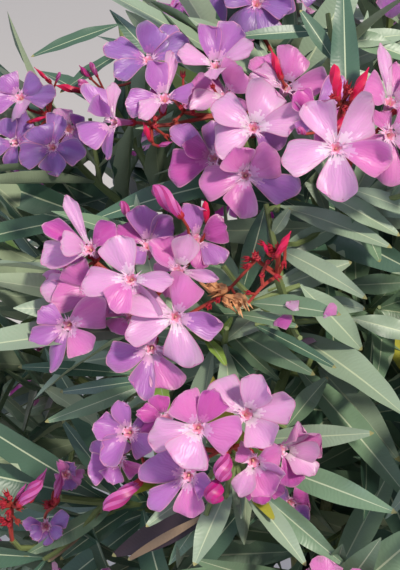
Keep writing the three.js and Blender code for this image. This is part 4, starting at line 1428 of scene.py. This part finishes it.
set_spines = []
draw = Dice(SEED * 13)
for carrier, leaves in SET_LEAVES:
    path, mass = carriers[carrier]
    for x0, y0, x1, y1, nearer, breadth, droop, tint in leaves:
        root = root_on(path, x0, y0)
        tip = seen_at(x1, y1, depth_of(root) - nearer)
        forward = unit(tip - root)
        face = mix(-LOOK, UP, 0.3)
        face = unit(face - forward * face.dot(forward))
        roll = draw.around(0, FLIP)
        face = math.cos(roll) * face + math.sin(roll) * np.cross(forward, face)
        spine, normal = grow_leaf(heaps[group_of(mass)]["leaves"], SET_LEAF, root, forward, face,
                                  np.linalg.norm(tip - root), breadth, droop, draw.around(0.2, 0.12),
                                  draw.around(0, 0.25), draw(), tint, to_tip=True)
        set_spines.append((spine, normal, mass))
print("set leaves:", len(set_spines))

# %% [markdown]
# ## Leaves by rule
#
# Whorls of three leaves follow each other down a shoot, each turned to fill the gaps of the one
# above. Side sprigs on every shoot and bough carry more and fill the heart of the crown. A leaf that
# would lie across an open flower or in front of a set leaf is tried nearer to its shoot, then
# shorter, and is left out if it still does.

# %% Growing the leaves
LEAF_LENGTH, LEAF_LENGTHS, LEAF_WIDTH, LEAF_WIDTHS = 124, 14, 19, 3  # middle values and spreads
WHORLS = [(14, 40), (28, 52), (41, 57), (54, 62), (67, 68), (80, 74), (94, 80)]  # below the tip, degrees out
SPRIGS = [(0.42, 0.95), (0.68, 0.8)]  # share of the way along the shoot, tilt
BOUGH_SPRIGS = [(0.35, 1.1), (0.62, 1.0), (0.88, 0.9)]
TRIES = [(1, 1), (0.7, 1), (0.45, 1), (1, 0.75), (0.6, 0.7)]  # shares of the spread and of the length
YELLOWED, BROWNED = 0.006, 0.01  # a draw below the first gives a yellow leaf, below the second a brown one
# left, top, right, bottom, depth: a part of the picture that no leaf tip nearer than this reaches
NO_LEAF = [(0, 150, 106, 222, 830), (-40, 100, 112, 230, 700)]
BEHIND, IN_FRONT, FLOWER_REACH = -9, 110, 20  # the space of an open flower that leaves keep out of
LEAF_REACH, LEAF_AHEAD = 9, 2  # the same for a set leaf
flower_centres = np.array([c for c, _ in open_flowers])
flower_axes = np.array([a for _, a in open_flowers])
set_away = np.concatenate([spine[2:-2:3] for spine, _, _ in set_spines]) - EYE
set_far = np.linalg.norm(set_away, axis=1)
set_rays = set_away / set_far[:, None]


def crosses_a_flower(points):
    """Whether a leaf runs through an open flower or hangs close in front of one."""
    away = points[:, None, :] - flower_centres[None, :, :]
    ahead = np.einsum("pfk,fk->pf", away, flower_axes)
    aside = np.sqrt(np.maximum((away**2).sum(-1) - ahead**2, 0))
    return bool(np.any((ahead > BEHIND) & (ahead < IN_FRONT) & (aside < FLOWER_REACH)))


def hides_a_set_leaf(points):
    """Whether a leaf comes between the camera and a set leaf."""
    away = points - EYE
    along = away @ set_rays.T
    aside = np.sqrt(np.maximum((away**2).sum(-1)[:, None] - along**2, 0))
    return bool(np.any((aside < LEAF_REACH) & (along < set_far - LEAF_AHEAD)))


def in_clear_view(tip):
    x, y, depth = on_picture(tip)
    return any(left < x < right and top < y < bottom and depth < far
               for left, top, right, bottom, far in NO_LEAF)



print("places that leaves keep clear of:", len(set_rays) + len(flower_centres))

# %% Whorls and sprigs
def leaf_at(heap, root, heading, around, spread, length, draw, tint, own, near):
    """Grows a leaf where one of the tries finds room. Returns how many it grew, none or one."""
    for share, shorter in TRIES:
        forward = aimed(heading, math.radians(spread * share), around)
        face = unit(heading - forward * heading.dot(forward))
        reach = length * shorter
        samples = root + forward * reach * np.array([[0.3], [0.5], [0.7], [0.85], [1.0]])
        samples = samples - face * reach * 0.16 * np.array([[0.1], [0.25], [0.5], [0.75], [1.0]])
        if crosses_a_flower(samples) or hides_a_set_leaf(samples) or in_clear_view(samples[-1]):
            continue
        if own and not keeps_to_its_space(samples[:4] * 0.93 + root * 0.07, own):
            continue
        grow_leaf(heap, NEAR_LEAF if near else PLAIN_LEAF, root, forward, face, reach,
                  draw.around(LEAF_WIDTH, LEAF_WIDTHS) * (0.75 + 0.25 * shorter), draw.around(0.28, 0.24),
                  draw.around(0.28, 0.14), draw.around(0, 0.5), draw(), tint)
        return 1
    return 0


def whorl(heap, path, below, spread, turn, size, draw, tint, own, near):
    """Three leaves around a twig, some way below its tip."""
    share = 1 - below / path.length
    if share < 0.06:
        return 0
    root, heading = path.at(share), path.heading(share)
    grown = 0
    for i in range(3):
        length = draw.around(LEAF_LENGTH, LEAF_LENGTHS) * size
        around = turn + i * FULL / 3 + draw.around(0, 0.2)
        worn = draw()
        mine = "leaf_yellow" if worn < YELLOWED else "leaf_brown" if worn < BROWNED else tint
        grown += leaf_at(heap, root, heading, around, draw.around(spread, 6), length, draw, mine, own, near)
    return grown


def side_sprig(heap, path, share, tilt, turn, length, size, draw, tint, own, near):
    """A short twig with three whorls of its own."""
    root, heading = path.at(share), path.heading(share)
    way = aimed(heading, tilt, turn)
    sprig = Bend(root, way, root + way * length, unit(mix(way, UP, 0.35)))
    grow_twig(sprig, 1.9, 1.3, 6, 5)
    grown = 0
    for n, below in enumerate((3, 0.4 * length, 0.75 * length)):
        grown += whorl(heap, sprig, below, 34 + 16 * n, turn + n, size, draw, tint, own, near)
    return grown


print("leaves on a full shoot:", 3 * len(WHORLS))

# %% Leaves by rule
FINE_DEPTH, FINE_ACROSS, FINE_HIGH = 760, 300, 380  # millimetres; pixels from the picture's middle


def in_view(place):
    """Whether a place is near enough to what the camera frames to need a finer mesh."""
    x, y, depth = on_picture(place)
    return (0 < depth < FINE_DEPTH and abs(x - PICTURE[0] / 2) < FINE_ACROSS
            and abs(y - PICTURE[1] / 2) < FINE_HIGH)


def tones_at(x):
    """The leaf tints of a part of the crown by its place from left to right, painted light and shade: light
    sage mostly in the lit middle, more deep green towards the sides and most on the far left.
    """
    if x < -190:
        return [GREEN, SHADE_GREEN, SHADE_GREEN]
    return [SAGE, GREEN, SHADE_GREEN] if x < -110 or x > 150 else [SAGE, SAGE, GREEN]


leaf_count = 0
for number, mass in enumerate(masses):
    draw = Dice(SEED * 7 + 211 * number)
    heap = heaps[group_of(mass)]["leaves"]
    for shoot in mass["shoots"]:
        path = shoot["path"]
        tint = draw.pick(tones_at(shoot["tip"][0]))
        near = in_view(shoot["tip"])
        for n, (below, spread) in enumerate(WHORLS):
            turn = shoot["turn"] + math.pi / 3 + (n - 1) * math.pi / 6
            leaf_count += whorl(heap, path, below, spread, turn, 0.72 if n == 0 else 1, draw,
                                YOUNG if n == 0 and draw() < 0.4 else tint, mass, near)
        for k, (share, tilt) in enumerate(SPRIGS):
            leaf_count += side_sprig(heap, path, share, tilt, shoot["turn"] + 1.1 + k * 2.6,
                                     draw.around(46, 6), 0.74, draw, tint, mass, near)
    # Sprigs on the boughs, in the heart of the crown, take only the middle and the deep green; the deep
    # green is painted shade.
    bough, _ = limbs["bough_" + mass["name"]]
    for share, tilt in BOUGH_SPRIGS:
        leaf_count += side_sprig(heap, bough, share, tilt, draw() * ANYWHERE, draw.around(44, 8), 0.8,
                                 draw, draw.pick([GREEN, SHADE_GREEN]), None, False)
print("leaves by rule:", leaf_count)

# %% [markdown]
# ## Fallen petals
#
# A few petals have dropped onto the leaves below and lie flat on them.

# %% Petals on leaves
# which set leaf, share of the way along it, size, turn, tint
FALLEN = [(9, 0.52, 0.36, 2.4, PINK), (10, 0.8, 0.42, 0.4, DEEP), (11, 0.2, 0.4, 4.2, PINK),
          (9, 0.9, 0.34, 1.0, ROSE)]
draw = Dice(SEED * 17)
for which, share, size, turn, tint in FALLEN:
    spine, normal, mass = set_spines[which]
    n = int(share * (len(spine) - 1))
    shape, flat = petal_surface(PLAIN_PETAL, FLOWER_RADIUS, PETAL_WIDTH, draw, 0.4, 0)
    shape = turned((shape - [FLOWER_RADIUS / 2, 0, shape[:, 2].min()]) * size, "z", turn)
    spin = basis(normal[n], unit(spine[n + 1] - spine[n]))
    heap = heaps[group_of(mass)]["petals"]
    heap.put(shape @ spin + spine[n] + normal[n] * 0.3, PLAIN_PETAL.faces,
             petal_slots(heap, PLAIN_PETAL, tint), flat)
print("fallen petals:", len(FALLEN))

# %% [markdown]
# ## Making the meshes
#
# Every heap now becomes one object. Each says which measured solids it stands for, so that those are
# no longer shown.

# %% Foliage and blossom pieces
def hand_over(heap, slot, *nodes, sharp=50):
    """Makes the object of a heap. It stands for the measured solids in nodes."""
    piece = heap.made(sharp)
    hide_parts(*nodes)
    return piece


for group in GROUPS:
    stood_for = ["foliage_" + m["name"] for m in masses if group_of(m) == group]
    for heap in heaps[group].values():
        hand_over(heap, "foliage", *stood_for)
hand_over(twigs, "foliage", *["foliage_" + m["name"] for m in masses])

# %% [markdown]
# ## Bark
#
# Old canes are grey-brown and nearly smooth, ringed by the scars of fallen leaf whorls and speckled
# with pores. Boughs are younger and greener. The scars stand out from the surface, so they are
# modelled; the pores are too fine, and come from the material's relief.

# %% Bark finishes
tree, shader = finish("cane_bark_grey", "#7D735C", Roughness=0.85, IOR=1.4)
noise = grain(tree, shader, 3.5, 0.6, 0.8, (1, 1, 0.35), 6.0)
mottled(tree, shader, noise, "#5E5443", "#94896D", 0.35, 0.66)
tree, shader = finish("bough_bark_green", "#6E7556", Roughness=0.75, IOR=1.4)
noise = grain(tree, shader, 2.5, 0.5, 0.5, (1, 1, 0.4), 5.0)
mottled(tree, shader, noise, "#59603F", "#858A66", 0.35, 0.66)
print("bark finishes made")

# %% Canes and boughs with scars
SCAR_STEP = 27.0  # distance between whorls of scars
RIDGE, SCAR, RIPPLE, SWAY = 0.075, 0.13, 0.02, 0.015  # heights as shares of the radius
RING_STEP, FEWEST_RINGS = 3, 12


def barked(name, path, radius_at, material, sides, slot):
    rings = max(FEWEST_RINGS, int(path.length / RING_STEP))
    first = Dice(sum(map(ord, name)))() * ANYWHERE

    def radius(share, angles):
        place = share * path.length / SCAR_STEP
        level, near = round(place), place - round(place)
        ridge = RIDGE * math.exp(-((near * 9) ** 2))
        turn = first + level * math.pi / 3
        scars = SCAR * np.exp(-((near * 6 + 0.5) ** 2)) * np.maximum(0, np.cos(3 * (angles - turn))) ** 4
        ripple = RIPPLE * np.sin(angles * 5 + share * 21 + first) + SWAY * np.sin(angles * 2 - share * 13)
        return radius_at(share) * (0.97 + ridge + scars + ripple)

    heap = Heap(name + "_bark", [material])
    heap.put_tube(material, path, radius, sides, rings)
    hand_over(heap, slot, name, sharp=60)


for name, (path, radius_at) in limbs.items():
    if name.startswith("cane"):
        barked(name, path, radius_at, "cane_bark_grey", 20, "cane_bark")
    else:
        barked(name, path, radius_at, "bough_bark_green", 12, "bough_bark")

# %% [markdown]
# ## The clay pot
#
# A terracotta pot is thrown or pressed from red clay and fired without a glaze. Its surface is matt
# and dry, a shade paler where lime from the water has come through the wall, and faintly ringed by
# the wheel. A turned profile with rounded edges gives the form, and four holes let water out.

# %% Terracotta pot
POT_HEIGHT, RIM_RADIUS, RIM_HEIGHT, RIM_TAPER, RIM_OVER = 280, 160, 46, 4, 9
FOOT_RADIUS, WALL, POT_FLOOR = 112, 12, 16
DRAINS, DRAIN_RADIUS, DRAIN_CIRCLE, DRAIN_CUT = 4, 7, 62, 50
BODY_TOP = POT_HEIGHT - RIM_HEIGHT
POT_SIDES = 96
THROWN, RIM_THROWN = 0.22, 0.15  # height of the rings that the wheel left


def outer_radius(height):
    return mix(FOOT_RADIUS, RIM_RADIUS - RIM_TAPER - RIM_OVER, height / BODY_TOP)


def inner_radius(height):
    return outer_radius(height) - WALL


tree, shader = finish("terracotta_fired", "#B4694A", Roughness=0.88, IOR=1.45)
grain(tree, shader, 1.6, 0.35, 0.25, (0.04, 0.04, 1))
grain(tree, shader, 1.1, 0.6, 0.4, detail=8.0)
place = node(tree, "ShaderNodeTexCoord").outputs["Object"]
stains = node(tree, "ShaderNodeTexNoise", {"Scale": 9.0, "Detail": 7.0, "Roughness": 0.62},
              {"Vector": place})  # stains about 110 mm across
mottled(tree, shader, stains, "#A65B3E", "#C98D6F", 0.34, 0.72)

profile = [(0.01, 0), (FOOT_RADIUS - 3, 0), (FOOT_RADIUS - 0.8, 1), (FOOT_RADIUS, 3.2)]
profile += [(outer_radius(z) + THROWN * math.sin(z * 1.1), z) for z in range(8, BODY_TOP - 3, 4)]
profile += [(outer_radius(BODY_TOP), BODY_TOP - 1.2), (outer_radius(BODY_TOP) + 2, BODY_TOP),
            (RIM_RADIUS - RIM_TAPER - 2, BODY_TOP), (RIM_RADIUS - RIM_TAPER, BODY_TOP + 2)]
profile += [(mix(RIM_RADIUS - RIM_TAPER, RIM_RADIUS, (z - BODY_TOP) / RIM_HEIGHT)
             + RIM_THROWN * math.sin(z), z) for z in range(BODY_TOP + 6, POT_HEIGHT - 4, 4)]
profile += [(RIM_RADIUS, POT_HEIGHT - 4), (RIM_RADIUS - 1, POT_HEIGHT - 1.2),
            (RIM_RADIUS - 3.5, POT_HEIGHT), (inner_radius(POT_HEIGHT) + 3, POT_HEIGHT),
            (inner_radius(POT_HEIGHT) + 0.6, POT_HEIGHT - 1)]
profile += [(inner_radius(z), z) for z in range(POT_HEIGHT - 6, POT_FLOOR, -12)]
profile += [(inner_radius(POT_FLOOR) - 3, POT_FLOOR), (0.01, POT_FLOOR)]
heap = Heap("terracotta_pot", ["terracotta_fired"])
heap.put(*lathe(profile, POT_SIDES), "terracotta_fired")
pot = hand_over(heap, "terracotta", "pot", sharp=40)
cutters = []
for i in range(DRAINS):
    place = sideways(360 / DRAINS * (i + 0.5), DRAIN_CIRCLE, POT_FLOOR / 2) * MM
    bpy.ops.mesh.primitive_cylinder_add(vertices=24, radius=DRAIN_RADIUS * MM, depth=DRAIN_CUT * MM,
                                        location=place)
    cutter = bpy.context.object
    cut = pot.modifiers.new("drain", "BOOLEAN")
    cut.object, cut.operation, cut.solver = cutter, "DIFFERENCE", "EXACT"
    cutters.append(cutter)
bpy.context.view_layer.update()
drained = bpy.data.meshes.new_from_object(pot.evaluated_get(bpy.context.evaluated_depsgraph_get()))
pot.modifiers.clear()
pot.data = drained
for cutter in cutters:
    bpy.data.objects.remove(cutter, do_unlink=True)
print("pot faces:", len(pot.data.polygons))

# %% [markdown]
# ## Soil
#
# Potting compost is dark, crumbly and never level. A dome of fine rings pushed up and down by slow
# waves gives the lie of it, and a few hundred crumbs, bark chips and pale specks of perlite give the
# crumb.

# %% Compost
tree, shader = finish("compost_dark", "#42342A", Roughness=1.0, IOR=1.35)
grain(tree, shader, 2.0, 1.0, 2.0, detail=10.0)
tree, shader = finish("compost_crumb", "#6A523C", Roughness=0.95, IOR=1.35)
grain(tree, shader, 1.5, 0.8, 1.0, detail=8.0)
tree, shader = finish("perlite_speck", "#CFC8B8", Roughness=0.9, IOR=1.4)
grain(tree, shader, 0.8, 0.5, 0.4)

soil = Heap("compost", ["compost_dark", "compost_crumb", "perlite_speck"])
EDGE_DROP, LOWEST = 6, 2.6  # how far the soil sinks at the wall, and how deep its hollows are
SOIL_RINGS, SOIL_SIDES = 26, 72
CRUMBS, CRUMB_SIZE, PERLITE_SIZE, PERLITE_SHARE = 640, 2.5, 1.7, 0.08
CRUMB = np.array([[1, 0, 0], [-1, 0, 0], [0, 1, 0], [0, -1, 0], [0, 0, 1], [0, 0, -1]], float)
CRUMB_FACES = np.array([[0, 2, 4], [2, 1, 4], [1, 3, 4], [3, 0, 4],
                        [2, 0, 5], [1, 2, 5], [3, 1, 5], [0, 3, 5]])
edge = inner_radius(SOIL_TOP) - 0.8


def lie_of_soil(radius):
    return SOIL_TOP - EDGE_DROP * (radius / edge) ** 4


angles = turns_of(SOIL_SIDES)
rows = [(0.5, 20), (inner_radius(24) - 1, 20)]
rows += [(inner_radius(z) - 1, z) for z in (80, 160, 235)]
points = [ring_at(r, angles, z) for r, z in rows]
for r in np.linspace(edge, 0.8, SOIL_RINGS):
    lumps = 1.1 * np.sin(r * 0.19 + 3 * angles) + 0.9 * np.sin(r * 0.33 - 5 * angles)
    lumps = lumps + np.sin(9 * angles + r)
    calm = np.clip((edge - r) / 10, 0, 1)
    points.append(ring_at(r, angles, lie_of_soil(r) + calm * (lumps - LOWEST)))
soil.put(np.concatenate(points), grid_faces(len(points), SOIL_SIDES, True), "compost_dark")
draw = Dice(SEED * 11)
for _ in range(CRUMBS):
    out, turn = edge * math.sqrt(draw()) * 0.97, draw() * FULL
    if draw() < PERLITE_SHARE:
        kind, size = "perlite_speck", PERLITE_SIZE
    else:
        kind, size = "compost_crumb", draw.around(CRUMB_SIZE, 1.3)
    shape = CRUMB * [draw.around(1.2, 0.5), draw.around(0.9, 0.3), draw.around(0.6, 0.2)] * size
    shape = turned(turned(shape, "z", draw() * ANYWHERE), "x", draw.around(0, 0.5))
    soil.put(shape + sideways_by(turn, out, lie_of_soil(out) - 1.1), CRUMB_FACES, kind)
hand_over(soil, "soil", "soil", sharp=30)

# %% [markdown]
# ## Floor and light
#
# The plant stands on a plain pale floor. One large warm lamp high on the right stands for the sun
# through thin haze, and a cool even glow from all around fills the shade, which turns pink petals
# lilac where the lamp doesn't reach. The lilac and dusk petal tints paint more of that shade.

# %% Studio
tree, shader = finish("floor_matt", "#D9D3C8", Roughness=0.9)
floor_mesh = bpy.data.meshes.new("floor")
FLOOR_RADIUS, FLOOR_SIDES = 25.0, 96  # in metres; so wide that its edge lies on the horizon
FLOOR_LEVEL = -0.0005
corners = ring_at(FLOOR_RADIUS, turns_of(FLOOR_SIDES), 0)
floor_mesh.from_pydata(corners.tolist(), [], [tuple(range(FLOOR_SIDES))])
floor_mesh.materials.append(bpy.data.materials["floor_matt"])
floor = bpy.data.objects.new("floor", floor_mesh)
floor.location.z = FLOOR_LEVEL
bpy.context.scene.collection.objects.link(floor)


def lamp(name, place, target, size, power, colour):
    data = bpy.data.lights.new(name, "AREA")
    data.shape, data.size, data.energy = "DISK", size, power
    data.color = linear(colour)[:3]
    light = bpy.data.objects.new(name, data)
    light.location = place
    light.rotation_euler = (Vector(target) - Vector(place)).to_track_quat("-Z", "Y").to_euler()
    bpy.context.scene.collection.objects.link(light)


lamp("key", (1.3, -1.9, 3.7), (-0.1, -0.1, 0.8), 0.4, 165, "#FFF6E8")
lamp("fill", (-2.2, -2.4, 1.8), (0, 0, 0.6), 2.0, 26, "#D4DEFF")
world = bpy.data.worlds.new("sky")
world.use_nodes = True
glow = world.node_tree.nodes["Background"]
glow.inputs["Color"].default_value = linear("#D2D8F0")
glow.inputs["Strength"].default_value = 0.64
bpy.context.scene.world = world
bpy.context.scene.view_settings.view_transform = "Standard"
print("lamps:", len(bpy.data.lights))
